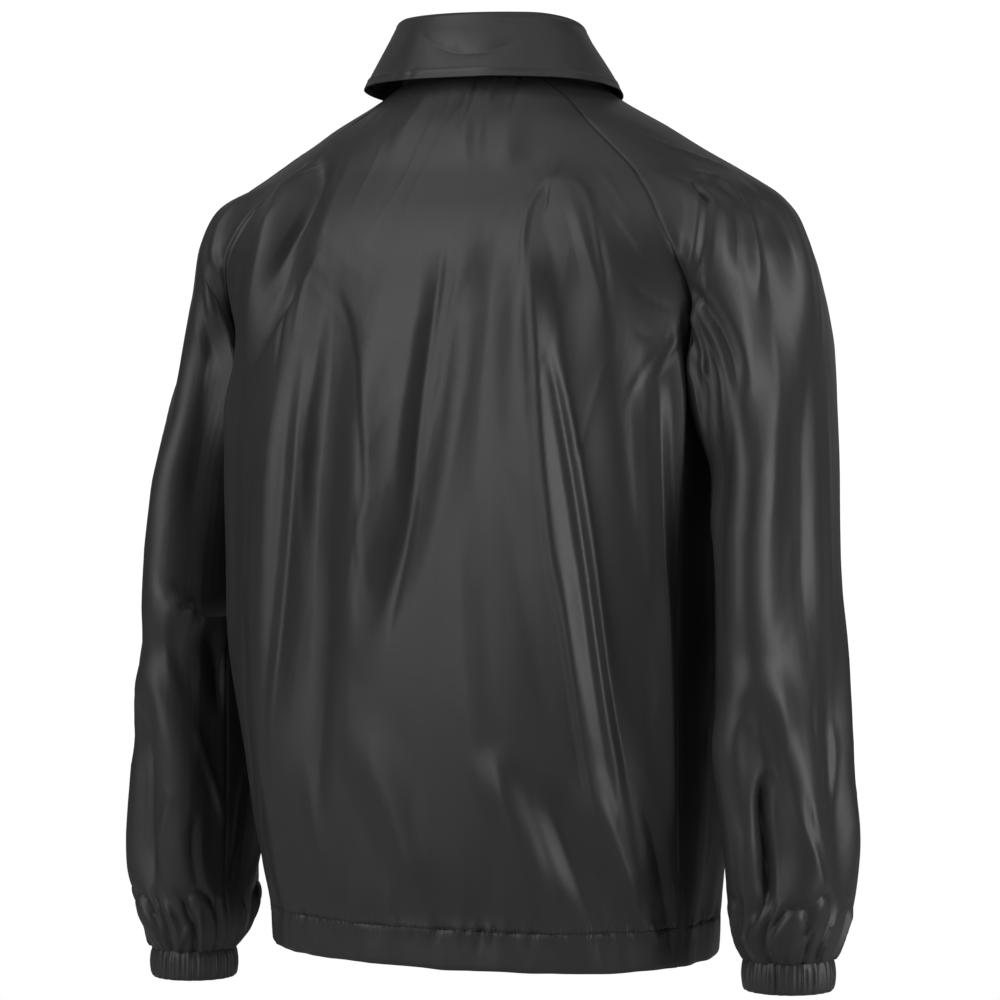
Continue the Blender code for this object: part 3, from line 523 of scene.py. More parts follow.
def lapped_under(points, step):
    """The other front: mirrored, and set back where it passes under the first."""
    across = across_of(points, 0) - FRONT_LAP
    back = step * ease(FRONT_LAP + LAP_OUTER, FRONT_LAP + LAP_INNER, across)
    return mirrored(points - outward(points) * back[..., None])


def sleeve_top(shares):
    """The height of the sleeve's short neck edge, from its back seam to its front seam."""
    return NECK_HEIGHT + (NECK_FRONT - NECK_HEIGHT) * ease(0, 1, shares)


def lowered(points, drop):
    """A sleeve let down below the underarm, by this much at the top of the cuff."""
    points = points.copy()
    points[..., 2] -= drop * np.clip((UNDERARM_HEIGHT - points[..., 2]) / (UNDERARM_HEIGHT - CUFF_TOP), 0, 1)
    return points


def neck_line(columns):
    """Points along the neck seam at the wearer's left, from the middle of the back to the collar's end."""
    shares = np.linspace(0, 1, NECK_POINTS)
    front = shares[::-1]
    parts = [
        surface(back_wall, shares, np.full((1, 1), NECK_HEIGHT))[0],
        surface(sleeve_wall, shares, sleeve_top(shares)[None, :])[0, 1:],
        surface(front_wall, front, neck_of_front(front)[None, :])[0, 1:],
    ]
    line = np.concatenate(parts)
    line = line[(line[:, 0] >= COLLAR_END) | (line[:, 1] > 0)]
    steps = np.linalg.norm(np.diff(line, axis=0), axis=1)
    along = np.concatenate([[0], np.cumsum(steps)])
    targets = np.linspace(0, along[-1], columns)
    return np.stack([np.interp(targets, along, line[:, k]) for k in range(3)], axis=1)


def level_directions(line):
    """The collar's directions at each point of the neck line: along it, and level out from the neck."""
    tangent = np.gradient(line, axis=0) * (1, 1, 0)
    tangent /= np.linalg.norm(tangent, axis=1, keepdims=True)
    out = np.stack([-tangent[:, 1], tangent[:, 0], np.zeros(len(line))], axis=1)
    out[0], tangent[0] = (0, 1, 0), (1, 0, 0)
    for _ in range(4):
        out[1:-1] = (out[:-2] + 2 * out[1:-1] + out[2:]) / 4
    return tangent, out / np.linalg.norm(out, axis=1, keepdims=True)


def collar_profile(round_):
    """How far out, up, back and tilted each row of the collar lies, from its foot to the edge of its leaf."""
    rise, lean, drop, flare, slant = (read(COLLAR, name, round_) for name in list(COLLAR)[1:])
    level = 0 * round_
    rows = []
    for part in np.linspace(0, 1, STAND_ROWS + 1)[:-1]:
        rows.append((lean * part, (rise - COLLAR_ROLL) * part, level, COLLAR_TILT * part))
    for turn in np.linspace(pi, 0, ROLL_ROWS):
        shift = COLLAR_ROLL * (1 + np.cos(turn))
        rows.append((lean + shift, rise - COLLAR_ROLL * (1 - np.sin(turn)), level, COLLAR_TILT))
    for part in np.linspace(0, 1, LEAF_ROWS + 1)[1:]:
        shift = 2 * COLLAR_ROLL + (flare - 2 * COLLAR_ROLL) * part
        fall = rise - COLLAR_ROLL - (drop - COLLAR_ROLL) * part
        rows.append((lean + shift, fall, slant * part**2, COLLAR_TILT * (1 - part / 2)))
    return rows


def noise(x, y, seed):
    """Smooth noise from -1 to 1, its hills about one unit apart."""
    lattice = np.random.RandomState(seed).uniform(-1, 1, (97, 97))
    column, row = np.floor(x).astype(int), np.floor(y).astype(int)
    u, v = x - column, y - row
    u, v = u * u * (3 - 2 * u), v * v * (3 - 2 * v)
    corner = [[lattice[(row + i) % 97, (column + j) % 97] for j in (0, 1)] for i in (0, 1)]
    low = corner[0][0] + u * (corner[0][1] - corner[0][0])
    high = corner[1][0] + u * (corner[1][1] - corner[1][0])
    return low + v * (high - low)


def ripple(along, size, place, seed):
    """Noise from -1 to 1 that changes only along one way, its hills about this size apart."""
    return noise(along / size, 0 * along + place, seed)


def line_of(distance, reach):
    """1 on a line, and fading to nothing within about twice this reach of it."""
    return np.exp(-((distance / reach) ** 2))


# The cloth's unevenness: how far each layer lifts it, how wide and long its hills are, where it starts in the
# noise, and what it adds to the panel's seed.
Swell = namedtuple("Swell", "lift width length start_x start_y seed")
SWELLS = [
    Swell(0.12, 5.2, 17, 11, 5, 0),
    Swell(0.03, 2.1, 9, 3, 9, 10),
    Swell(0.012, 0.9, 3.5, 4, 8, 30),
]
# Its faint drag lines: long ones, short ones, and a few that slant the other way.
Drag = namedtuple("Drag", "lift width length slant start_x start_y seed sharpness")
DRAGS = [
    Drag(0.08, 3.6, 22, 0, 21, 31, 20, 0.22),
    Drag(0.06, 2.2, 7, 0.12, 40, 13, 25, 0.22),
    Drag(0.05, 2.6, 6, -0.3, 60, 3, 35, 0.2),
]


def drag_lines(x, y, seed, sharpness):
    """Thin ridges, uneven in length and height, that run along y."""
    bent = x + 0.7 * noise(x / 2.5 + 7.3, y / 2 + 3.1, seed + 1)
    ridge = np.exp(-np.abs(noise(bent, y, seed)) / sharpness)
    return ridge * np.clip(noise(x / 3 + 1.7, y / 1.5 + 5.9, seed + 2) + 0.3, 0, 1)


def crumple(across, height, seed, splay=0.0):
    """The cloth's soft unevenness and its faint drag lines, which splay out towards the hem where told to."""
    across = across / (1 - splay * height / PANEL_LENGTH)
    lift = 0
    for layer in SWELLS:
        x, y = across / layer.width + layer.start_x, height / layer.length + layer.start_y
        lift = lift + layer.lift * noise(x, y, seed + layer.seed)
    for layer in DRAGS:
        x = across / layer.width + layer.slant * height + layer.start_x
        y = height / layer.length + layer.start_y
        lift = lift + layer.lift * drag_lines(x, y, seed + layer.seed, layer.sharpness)
    return lift


def uneven(shares, count, seed):
    """Waves whose widths and heights differ, the same again after a whole turn."""
    turn = 2 * pi * shares
    shift = 0.5 * np.sin(3 * turn + seed) + 0.35 * np.sin(7 * turn + 2.1 * seed)
    shift = shift + 0.25 * np.sin(11 * turn + 4 * seed)
    height = 0.72 + 0.2 * np.sin(5 * turn + 1.3 * seed) + 0.18 * np.sin(8 * turn + 3.7 * seed)
    wave = np.cos(count * turn + 2 * shift)
    return height * (1.5 * np.sqrt(np.abs(wave + 1) / 2 + 0.02) - 0.9)


def eased_shares(start, end, count, strength):
    """Shares of a panel's columns that lie closer together towards its two seams."""
    part = np.linspace(0, 1, count)
    part = part - strength * np.sin(2 * pi * part) / (2 * pi)
    return start + (end - start) * part


def seam_dip(across, low, high):
    """The groove in which a panel's edge is turned in at each of its seams."""
    return -SEAM_DEPTH * (line_of(across - low, SEAM_REACH) + line_of(high - across, SEAM_REACH))


def seam_pucker(across, low, high, height, seed):
    """Short uneven waves that the seam's thread draws in beside it."""
    from_low, from_high = np.abs(across - low), np.abs(high - across)
    near = np.exp(-from_low / PUCKER_WIDTH) + np.exp(-from_high / PUCKER_WIDTH)
    beyond = 1 - np.exp(-np.minimum(from_low, from_high) / PUCKER_START)
    wave = ripple(height, 0.55, 2.5, seed) + 0.6 * ripple(height, 1.3, 7.5, seed + 1)
    return PUCKER_LIFT * near * beyond * wave


def raised(points, lift):
    return points + outward(points) * lift[..., None]


def tucked(sheet, out=outward, left=False, right=False, top=False, foot=False, tuck=PANEL_TUCK):
    """The sheet with its seam allowance turned in under the piece it is sewn to, at the edges named."""
    layers = list(sheet)
    for wanted, axis, end, next_one in (left, 1, 0, 3), (right, 1, -1, -4), (top, 0, -1, -3), (foot, 0, 0, 1):
        if not wanted:
            continue
        facing = np.take(out(layers[0]), [end], axis=axis)
        for n, layer in enumerate(layers):
            edge = np.take(layer, [end], axis=axis)
            step = edge - np.take(layer, [next_one], axis=axis)
            if n == 0:
                length = np.linalg.norm(step, axis=2, keepdims=True)
                fresh = [edge + step / length * run - facing * tuck for run in (ALLOWANCE, TURNING)]
            else:
                fresh = [edge + step * (run / length[..., 0]) for run in (ALLOWANCE, TURNING)]
            order = [*fresh, layer] if end == 0 else [layer, *fresh[::-1]]
            layers[n] = np.concatenate(order, axis=axis)
    return tuple(layers)


Crease = namedtuple("Crease", "across height mid_across mid_height end_across end_height depth outer inner")
Puff = namedtuple("Puff", "across height width reach lift")


def creases(rows):
    """Ridges, and troughs of negative depth, with a width for each of their two sides."""
    return [Crease(*row) for row in rows]


def crease_shape(across, height, crease):
    """How far one crease lifts each point. Where it runs down, its outer side has the greater across."""
    distance, beside, place = from_line(across, height, fold_line(crease))
    near = np.clip(1 - distance / np.where(beside > 0, crease.outer, crease.inner), 0, 1)
    soft = near * near * (3 - 2 * near)
    return crease.depth * ends_fade(place) * (CREASE_SOFTNESS * soft + (1 - CREASE_SOFTNESS) * near**1.25)


def creased(across, height, rows):
    return sum(crease_shape(across, height, crease) for crease in rows)


def puffed(across, height, puffs):
    """Round folds that hang over a cuff, each with a furrow over its top, and lost in the gathers below."""
    lift = furrow = 0
    for puff in puffs:
        rim = np.sqrt(((across - puff.across) / puff.width) ** 2 + ((height - puff.height) / puff.reach) ** 2)
        upper = ease(puff.height - 0.6 * puff.reach, puff.height + 0.4 * puff.reach, height)
        round_top = np.clip(1 - rim**2, 0, 1) ** 0.6
        lift = np.maximum(lift, puff.lift * round_top * (0.4 + 0.6 * upper))
        furrow = np.maximum(furrow, 0.6 * puff.lift * upper * line_of(rim - 1.12, 0.17))
    return lift - furrow


BACK_CREASES = creases([
    # the wearer's left shoulder, down to the point of its pouch
    (15.4, -4.6, 11.9, -8.4, 14.9, -16.5, -0.3, 0.9, 0.6),
    (13.6, -8.8, 18.3, -14, 23, -19.2, 0.22, 0.8, 1.3),
    (9.1, -12, 14.7, -20.2, 22.4, -28.8, -0.34, 1.9, 0.55),
    (17.5, -8, 19.6, -12, 22.4, -16, -0.2, 0.7, 0.7),
    (11.6, -15, 12.7, -18.7, 13.1, -23, -0.14, 0.5, 0.4),
    (10.2, -14.6, 11, -17.4, 11.3, -20.6, 0.1, 0.5, 0.4),
    (22, -22, 22.4, -26, 21.8, -29, 0.15, 0.8, 0.8),
    # the long flat hollow and its edges
    (7.9, -15, 4, -26, 3.6, -36, -0.36, 2.6, 0.7),
    (3.6, -31, 3.8, -37.5, 2.2, -43, -0.16, 2.2, 0.8),
    (8.3, -15.6, 9.6, -26, 9.6, -38, 0.18, 1.6, 1),
    (10.4, -20, 11, -38, 14, -60, 0.7, 1, 3.8),
    (6.9, -36, 7.6, -48, 9, -62, -0.25, 1.6, 1.6),
    (15, -30, 15.6, -44, 16.2, -60, 0.2, 1.6, 1.8),
    (18.8, -32, 19.2, -46, 20, -62, -0.2, 1.4, 1.4),
    # the stripe at the middle
    (-2.4, -11.6, -1.6, -22, -0.9, -33, -0.34, 1.5, 0.7),
    (-1.3, -26, -0.4, -36, 1.4, -45, -0.2, 1.4, 0.7),
    (-4.6, -13.4, -2.9, -20.2, -2.4, -30, 0.1, 0.5, 0.8),
    (-5.4, -34, -5.8, -46, -7, -60, 0.16, 2, 2.2),
    # the long ridges down towards the wearer's right
    (-9.6, -12.6, -11.6, -27, -13.6, -43, 0.4, 0.6, 1.8),
    (-12.9, -36, -14.5, -47, -16, -62, 0.4, 0.6, 1.6),
    (-11.2, -20.4, -14.6, -34, -18.4, -62, 0.32, 0.6, 0.9),
    (-12.6, -22, -16.2, -36, -19.4, -62, -0.7, 0.9, 3.6),
    (-20.6, -22.6, -21.5, -32, -22.2, -46, 0.6, 2.2, 0.9),
    (-21.9, -38, -22.4, -48, -22.6, -66, 0.6, 2.2, 0.9),
    # the arch over the wearer's right shoulder blade
    (-9.7, -17, -9.1, -9.6, -11, -8.3, 0.14, 0.5, 0.5),
    (-10.6, -8.3, -14.2, -10.4, -16.4, -19, 0.16, 0.5, 0.7),
    (-11.6, -10, -13.4, -13.4, -14.6, -19, -0.16, 1.4, 1.2),
    (-14.2, -8.8, -17, -11.4, -19.6, -15, 0.1, 0.5, 0.5),
    (-13, -6.4, -15.6, -8.8, -18.4, -12, 0.08, 0.5, 0.5),
    # the pinch at the wearer's right underarm
    (-22.3, -19.6, -21.4, -21.4, -20.4, -23.4, 0.22, 0.5, 0.5),
    (-22.1, -19.2, -20.4, -20.2, -18.4, -19.8, 0.14, 0.4, 0.5),
    (-22.3, -20.4, -19.8, -22.4, -18, -26, 0.12, 0.5, 0.6),
    (-22.2, -18.2, -19.4, -17.2, -17.4, -15.4, 0.08, 0.5, 0.5),
    # swells that run down over the hem
    (-7.6, -52, -9.6, -60, -12.4, -73, 0.5, 2.8, 1.8),
    (-15.6, -56, -17.6, -61.4, -19.8, -72, 0.24, 1.2, 1.4),
    (-11.6, -56, -13.4, -61.4, -15.8, -72, -0.2, 1.2, 1.2),
    (-19.2, -55, -20.8, -61.4, -22, -72, -0.18, 0.9, 1.2),
    (1.6, -54, 0, -61, -2.6, -72, 0.16, 1.4, 1.4),
    (9.4, -54, 8.6, -61, 6.4, -72, 0.16, 1.4, 1.4),
    (15.6, -52, 14.6, -60, 14.9, -72, 0.16, 1.4, 1.4),
    (19.6, -50, 19.8, -60, 21, -72, -0.16, 1.4, 1.4),
    # tucks and gathers below the collar
    (-1.5, 1.8, -1.4, -0.6, -1.6, -3.2, -0.16, 0.3, 0.3),
    (-4.9, 1.8, -4.8, -0.4, -5.2, -2.6, -0.16, 0.3, 0.3),
    (-3.2, 1.8, -3.2, -0.2, -3.3, -1.6, -0.12, 0.25, 0.25),
    (-0.4, 1.8, -1.6, -2.8, -3.4, -8, 0.08, 0.6, 0.8),
    (-2.6, 1.8, -3, -1.6, -3.6, -6.4, 0.08, 0.5, 0.7),
    (0.9, 1.8, 1, -0.8, 0.8, -3, -0.05, 0.4, 0.4),
    (2.6, 1.8, 3, -1, 3.8, -4, 0.05, 0.6, 0.6),
    (4.8, 1.8, 5.6, -1, 7, -4.2, -0.06, 0.6, 0.6),
    (6.6, 1.4, 7.8, -0.8, 9.6, -4, 0.05, 0.6, 0.6),
])
# Creases on a sleeve as it is cut: its back half has negative places, and both sleeves share the front's.
SLEEVE_CREASES = creases([
    (6, -9, 8.4, -18, 13.6, -27, 0.2, 0.8, 1.2),
    (8.8, -8, 11.6, -15, 16.8, -22, -0.24, 1, 0.7),
    (12.4, -12, 13.8, -17, 17.4, -19, 0.18, 0.5, 0.6),
    (2, -8, 3, -20, 1.6, -36, 0.22, 1.6, 1.4),
    (6, -26, 8, -38, 7, -50, -0.26, 1.6, 1.4),
    (12, -26, 12.4, -36, 10.8, -46, 0.28, 1.8, 1.4),
    (16.6, -30, 17.2, -40, 16.4, -50, -0.22, 1.2, 1.2),
    (10, -38, 13, -42, 18.4, -43, 0.22, 0.7, 1.6),
    (9.4, -43, 12.4, -47, 18, -49, -0.22, 0.8, 1.2),
    (13.4, -46, 12.6, -56, 14.4, -65, 0.24, 0.9, 1.3),
    (9.2, -50, 8.6, -58, 9.4, -66, -0.3, 1, 1),
    (4.4, -48, 4.2, -58, 5.4, -66, 0.26, 1, 1.4),
    (0.8, -50, 1.4, -58, 0.8, -66, -0.24, 1.2, 1),
    (16.8, -54, 17.6, -60, 17, -66, -0.22, 1, 0.8),
])
RIGHT_SLEEVE_CREASES = creases([
    # the head, beside the raglan seam and at the underarm
    (-7.4, -3.2, -4.8, -5.8, -2.4, -6.9, 0.18, 0.4, 0.4),
    (-9.6, -8.5, -7.4, -7.7, -7.2, -10.4, 0.5, 0.7, 0.9),
    (-7.1, -9, -8, -12.4, -10.4, -17.6, 0.5, 0.8, 1.1),
    (-8.8, -9.4, -9.4, -12, -11.6, -15.6, -0.3, 1.2, 1.2),
    (-10.3, -8.5, -10.7, -9.2, -11.1, -10.2, -0.7, 0.55, 0.55),
    (-10.2, -7.8, -13, -12.2, -16, -17, 0.48, 0.5, 1),
    (-15.4, -15.8, -14.8, -19.6, -14.6, -25.4, -0.55, 1.3, 0.9),
    (-16.4, -17.6, -17.3, -20.8, -18.7, -25, 0.3, 0.5, 0.6),
    (-5.2, -8, -4.4, -11, -5.4, -16, 0.14, 0.6, 0.8),
    (-2, -8, -1.6, -14, -3.4, -22, 0.14, 0.8, 0.9),
    (-18.9, -21, -17.6, -24.4, -18.4, -29, 0.16, 0.4, 0.5),
    (-19.6, -22, -18.8, -26, -19.6, -31, 0.14, 0.4, 0.5),
    (-17.4, -20.4, -16.2, -23.6, -16.4, -28.4, 0.12, 0.4, 0.5),
    # down the arm
    (-7.1, -14.4, -11, -25.3, -11.7, -38.6, 0.34, 3, 2.2),
    (-14.6, -24, -15.6, -34, -15, -46, -0.3, 1.8, 1.6),
    (-18.4, -28, -17.9, -38, -18.4, -46, 0.2, 1.2, 1.2),
    (-6, -20, -7.4, -32, -7, -46, -0.2, 1.4, 1.4),
    (-3, -22, -3.6, -36, -3.2, -52, 0.2, 1.4, 1.4),
    (-18.2, -34, -17.4, -48, -16.8, -68, -1.1, 1.2, 3.2),
    # the forearm's arches and the deep fold between them
    (-13.5, -57, -13.6, -50.6, -12, -50.8, 0.26, 0.8, 0.7),
    (-12.4, -50.6, -11, -52.4, -10, -56.4, 0.26, 0.7, 0.7),
    (-11.2, -53.4, -12, -59, -10.8, -67.5, -1, 0.9, 1),
    (-13.4, -57, -13.4, -62, -12.4, -66, 0.25, 0.9, 0.9),
    (-11, -46, -9.5, -54.4, -8.9, -60, 0.34, 1.6, 1.2),
    (-9.1, -58, -7.9, -61, -6.6, -64.4, 0.2, 0.8, 0.7),
    (-8.4, -55.4, -8.3, -58.8, -6.4, -63.6, -0.22, 0.6, 0.5),
    (-6.4, -47.6, -6.6, -51, -6, -54.6, -0.24, 0.8, 0.7),
    (-3.8, -50, -3.2, -54, -5.8, -60.6, 0.22, 0.6, 0.7),
    (-1.6, -52, -0.6, -58, -1.4, -64, -0.2, 1, 1),
])
LEFT_SLEEVE_CREASES = creases([
    (-6.6, -4, -5.8, -7, -6.4, -12, 0.16, 0.5, 0.6),
    (-10.6, -8.6, -13.8, -13, -17, -18, 0.2, 0.45, 0.6),
    (-12.6, -13.4, -14.6, -18, -18.4, -23, -0.26, 0.9, 0.7),
    (-9, -12, -10.6, -22, -13.4, -31, 0.24, 1.2, 1.4),
    (-5, -12, -5.6, -24, -8.4, -36, -0.22, 1.4, 1.4),
    (-2, -10, -1.6, -22, -3.6, -36, 0.2, 1.2, 1.4),
    # the wedge at the elbow and the hollow under it
    (-13.2, -39.4, -17.4, -42, -21.4, -41.2, 1.2, 3.6, 0.6),
    (-16.8, -43.2, -18.8, -46, -18.6, -50.6, -0.6, 1.6, 1.4),
    (-14.8, -41, -14.3, -45, -15.5, -49, 0.22, 0.8, 0.8),
    # the forearm
    (-15.9, -50.6, -17.6, -54.6, -19.6, -60.4, 0.26, 0.6, 0.6),
    (-13.4, -50, -13.6, -55, -15.4, -57, 0.2, 0.7, 0.8),
    (-14.6, -56, -13, -61, -13.2, -66, 0.22, 0.8, 0.8),
    (-16.4, -57, -15.6, -61, -15.2, -65.6, -0.2, 0.8, 0.8),
    (-8, -40, -9.4, -52, -8.6, -64, 0.26, 1.4, 1.2),
    (-11, -48, -11.6, -57, -11, -66, -0.3, 0.9, 0.9),
    (-4.6, -48, -5.2, -57, -4.6, -66, -0.26, 1.1, 1.1),
    (-1.6, -50, -1.2, -58, -2.2, -66, 0.24, 1.1, 1.1),
])
FRONT_CREASES = creases([
    (8, -10, 12, -18, 19, -26.5, -0.34, 0.7, 1.8),
    (6, -12, 10, -21, 16.8, -30, 0.2, 0.9, 1.4),
    (11.4, -9, 14.4, -14, 19.4, -20, 0.22, 0.8, 0.6),
    (14, -13, 16.4, -18, 19.8, -23.4, -0.16, 0.6, 0.5),
    (5, -24, 6.4, -40, 5.6, -60, 0.2, 1.2, 2),
    (8.8, -28, 9.8, -44, 9.2, -62, -0.3, 0.8, 2),
    (12.2, -26, 13.6, -42, 13.2, -60, 0.24, 1.6, 0.9),
    (16.2, -30, 15.8, -44, 16.4, -61, -0.24, 1.8, 0.8),
    (19.6, -26, 20.4, -40, 20.2, -58, 0.22, 1, 1.2),
    (4, -50, 5, -58, 6.8, -72, 0.2, 1.4, 1.4),
    (10.8, -52, 11.6, -60, 12.6, -72, 0.2, 1.4, 1.4),
    (16.8, -52, 17.6, -60, 18, -72, 0.18, 1.2, 1.4),
])
# What hangs over each cuff. Places run from -20 to 20 round the sleeve from its back seam.
CUFF_CREASES = creases([
    (-19, -64.6, -18.7, -67, -18.9, -71.5, -0.3, 0.7, 0.7),
    (-17.2, -65.4, -16.4, -67.4, -17, -71.5, 0.28, 0.6, 0.6),
    (-15, -63.6, -15.8, -66.8, -15.2, -71.5, -0.36, 0.8, 0.6),
    (-13, -65, -13.8, -67, -12.6, -71.5, 0.3, 0.7, 0.6),
    (-11.6, -63.8, -12.4, -66.6, -11.5, -71.5, -0.44, 0.7, 0.7),
    (-7.8, -66.4, -7.3, -68, -8.2, -71.5, -0.34, 0.5, 0.6),
    (-6, -64, -5.4, -66.8, -6.4, -71.5, -0.3, 0.7, 0.7),
    (-4.6, -65.6, -5.2, -67.4, -4.4, -71.5, 0.28, 0.6, 0.6),
    (-2.6, -64.4, -1.8, -67, -2.8, -71.5, -0.38, 0.8, 0.6),
    (-0.4, -65.2, -1, -67.2, -0.4, -71.5, 0.3, 0.7, 0.7),
    (1.8, -63.8, 2.6, -66.6, 1.6, -71.5, -0.36, 0.8, 0.7),
    (4.4, -65.4, 3.6, -67.4, 4.4, -71.5, 0.28, 0.6, 0.6),
    (6.4, -64.4, 7.2, -66.8, 6.2, -71.5, -0.38, 0.7, 0.7),
    (8.6, -65, 8, -67.2, 8.8, -71.5, 0.3, 0.7, 0.6),
    (11, -64, 10.2, -66.8, 11.2, -71.5, -0.36, 0.8, 0.7),
    (13.4, -65.4, 14, -67.4, 13.2, -71.5, 0.28, 0.6, 0.6),
    (15.6, -64.2, 14.8, -66.8, 15.8, -71.5, -0.38, 0.7, 0.7),
    (17.8, -65.2, 17.2, -67.2, 17.8, -71.5, 0.28, 0.6, 0.6),
    (-16.2, -66.6, -14.6, -67.6, -13.6, -69.4, 0.22, 0.4, 0.5),
    (2.6, -66, 1.2, -67.4, 0.4, -69.4, 0.22, 0.4, 0.5),
])
CUFF_PUFFS = [
    Puff(*row)
    for row in [
        (-16.9, -65.8, 1.3, 1.6, 0.26),
        (-9.9, -66.8, 1.6, 2.1, 0.50),
        (-7.4, -65.2, 1.3, 1.4, 0.32),
        (4.8, -66.0, 1.6, 1.8, 0.40),
        (13.0, -65.8, 1.5, 1.7, 0.34),
    ]
]


def hem_draw(across, height, seed):
    """What runs on from a panel into its casing: slow folds, and the puckers that the stitching draws in."""
    over = height - CASING_TOP
    slow = 0.26 * noise(across / 2.7 + 5, height / 11 + 2, seed)
    slow = slow + 0.12 * noise(across / 1.1 + 9, height / 6, seed + 1)
    slow = slow * np.exp(-np.clip(over - 1.5, 0, None) / 4.5)
    reach = 0.6 + 0.4 * ripple(across, 0.9, 4.5, seed + 2)
    cluster = np.clip(0.9 + 0.9 * ripple(across, 3.3, 1.5, seed + 3), 0.25, 1.5)
    ticks = ripple(across + 0.217 * over, 0.62, 7.5, seed + 4)
    ticks = ticks + 0.6 * ripple(across - 0.52 * over, 1.3, 2.5, seed + 5)
    drawn = 0.32 * cluster * ticks * np.exp(-np.abs(over) / reach)
    return slow + drawn - 0.07 * line_of(over - 0.05, 0.16)


def back_sheet(seed=3):
    shares = eased_shares(1, -1, BACK_COLUMNS, BODY_EASE)
    points = surface(back_wall, shares, level_rows(CASING_TOP, NECK_HEIGHT + 0 * shares, BODY_ROWS))
    across = -across_of(points, (BACK_COLUMNS - 1) / 2)
    height = points[..., 2]
    edge = np.abs(across).max(axis=1, keepdims=True)
    fade = seam_fade(across, -edge, edge) * end_fade(height, CASING_TOP, NECK_HEIGHT)
    points = folded(points, BACK_FOLDS, across, fade)
    lift = creased(across, height, BACK_CREASES) * seam_fade(across, -edge, edge, 0.5)
    calm = seam_fade(across, -edge, edge, 3.0) * ease(CASING_TOP, CASING_TOP + 4, height)
    lift = lift + crumple(across, height, seed, splay=0.3) * calm
    lift = lift + seam_dip(across, -edge, edge) + seam_pucker(across, -edge, edge, height, 41)
    lift = lift + hem_draw(across, height, BACK_HEM_SEED) * ease(0, 1, edge - np.abs(across))
    return raised(points, lift), across, height


def front_sheet(seed=5):
    """The wearer's left front, from the edge that laps past the middle to its seams."""
    shares = eased_shares(0, 1, FRONT_COLUMNS, BODY_EASE)
    top = neck_of_front(shares)
    points = surface(front_wall, shares, level_rows(CASING_TOP, top, BODY_ROWS))
    across = across_of(points, 0) - FRONT_LAP
    height = points[..., 2]
    edge = across.max(axis=1, keepdims=True)
    fade = seam_fade(across, LAP_FADE, edge) * end_fade(height, CASING_TOP, top)
    points = folded(points, FRONT_FOLDS, across, fade)
    near = ease(LAP_FADE, LAP_FADE + 2, across) * ease(0, 0.5, edge - across)
    near = near * ease(0, NECK_FADE, top - height)
    lift = creased(across, height, FRONT_CREASES) * near
    calm = near * ease(0, 3, edge - across) * ease(CASING_TOP, CASING_TOP + 4, height)
    lift = lift + 0.8 * crumple(across, height, seed) * calm
    lift = lift + seam_dip(across, -FAR, edge) + seam_pucker(across, -FAR, edge, height, 43) * near
    drawn = ease(*HEM_LAP_SHARES, shares) * ease(0, 1, edge - across)
    lift = lift + hem_draw(across, height, FRONT_HEM_SEED) * drawn
    return raised(points, lift), across, height


def sleeve_sheet(seed, own_creases):
    """A sleeve, as the wearer's left one, from its front seam round the outside to its back seam."""
    shares = eased_shares(1, 0, SLEEVE_COLUMNS, SLEEVE_EASE)
    top = sleeve_top(shares)
    points = surface(sleeve_wall, shares, level_rows(CUFF_TOP, top, SLEEVE_ROWS))
    across = -across_of(points, (SLEEVE_COLUMNS - 1) / 2)
    height = points[..., 2]
    edge = np.abs(across).max(axis=1, keepdims=True)
    fade = seam_fade(across, -edge, edge) * end_fade(height, CUFF_TOP, top)
    points = folded(points, SLEEVE_FOLDS, across, fade)
    clear = ease(0, NECK_FADE, top - height) * ease(CUFF_TOP, CUFF_TOP + 3, height)
    lift = creased(across, height, SLEEVE_CREASES + own_creases) * seam_fade(across, -edge, edge, 0.5) * clear
    # The head of the sleeve is drawn smooth over the shoulder.
    calm = seam_fade(across, -edge, edge, 3.0) * clear * (1 - 0.75 * ease(-36, -24, height))
    lift = lift + crumple(across, height, seed) * calm
    lift = lift + seam_dip(across, -edge, edge) + seam_pucker(across, -edge, edge, height, 47)
    points = raised(points, lift)
    above = np.clip(height - CUFF_TOP, 0, None)
    small = 0.17 * uneven(shares, CUFF_GATHERS, GATHER_SEED)[None, :] * np.exp(-above / 1.1)
    round_ = CUFF_HALF_TURN * across / edge
    hang = puffed(round_, height, CUFF_PUFFS) * ease(0, 0.5, above) + creased(round_, height, CUFF_CREASES)
    gathers = (small + hang) * ease(0, 0.8, edge - np.abs(across)) - 0.08 * line_of(above, 0.16)
    return points + level_out(points) * gathers[..., None], across, height


def cuff_band():
    """The elastic cuff at the wearer's left, gathered at the stitching round its top, with a folded foot."""
    shares = np.linspace(1, 0, CUFF_COLUMNS)
    rises = np.linspace(0, 1, CUFF_ROWS)[:, None]
    points = surface(sleeve_wall, shares, np.full((CUFF_ROWS, 1), CUFF_FOOT))
    points[..., 2] = CUFF_FOOT + rises * (CUFF_TOP - TURNING - CUFF_FOOT)
    gathers = uneven(shares, CUFF_GATHERS, GATHER_SEED)[None, :]
    fine = uneven(shares, 2 * CUFF_GATHERS + 3, 2.6)[None, :]
    wave = 0.55 * gathers + 0.6 * fine * np.sin(pi * np.clip(rises, 0.08, 0.92))
    swell = 0.1 * np.sin(pi * np.clip(rises * 1.05, 0, 1)) - 0.1 * line_of(rises, 0.06)
    stitched = -0.08 * line_of(1 - rises, 0.07)
    points = points + level_out(points) * (0.17 * wave + swell + stitched)[..., None]
    points[:, -1] = points[:, 0]
    return points, shares[None, :] * CUFF_FLAT + 0 * rises, points[..., 2]


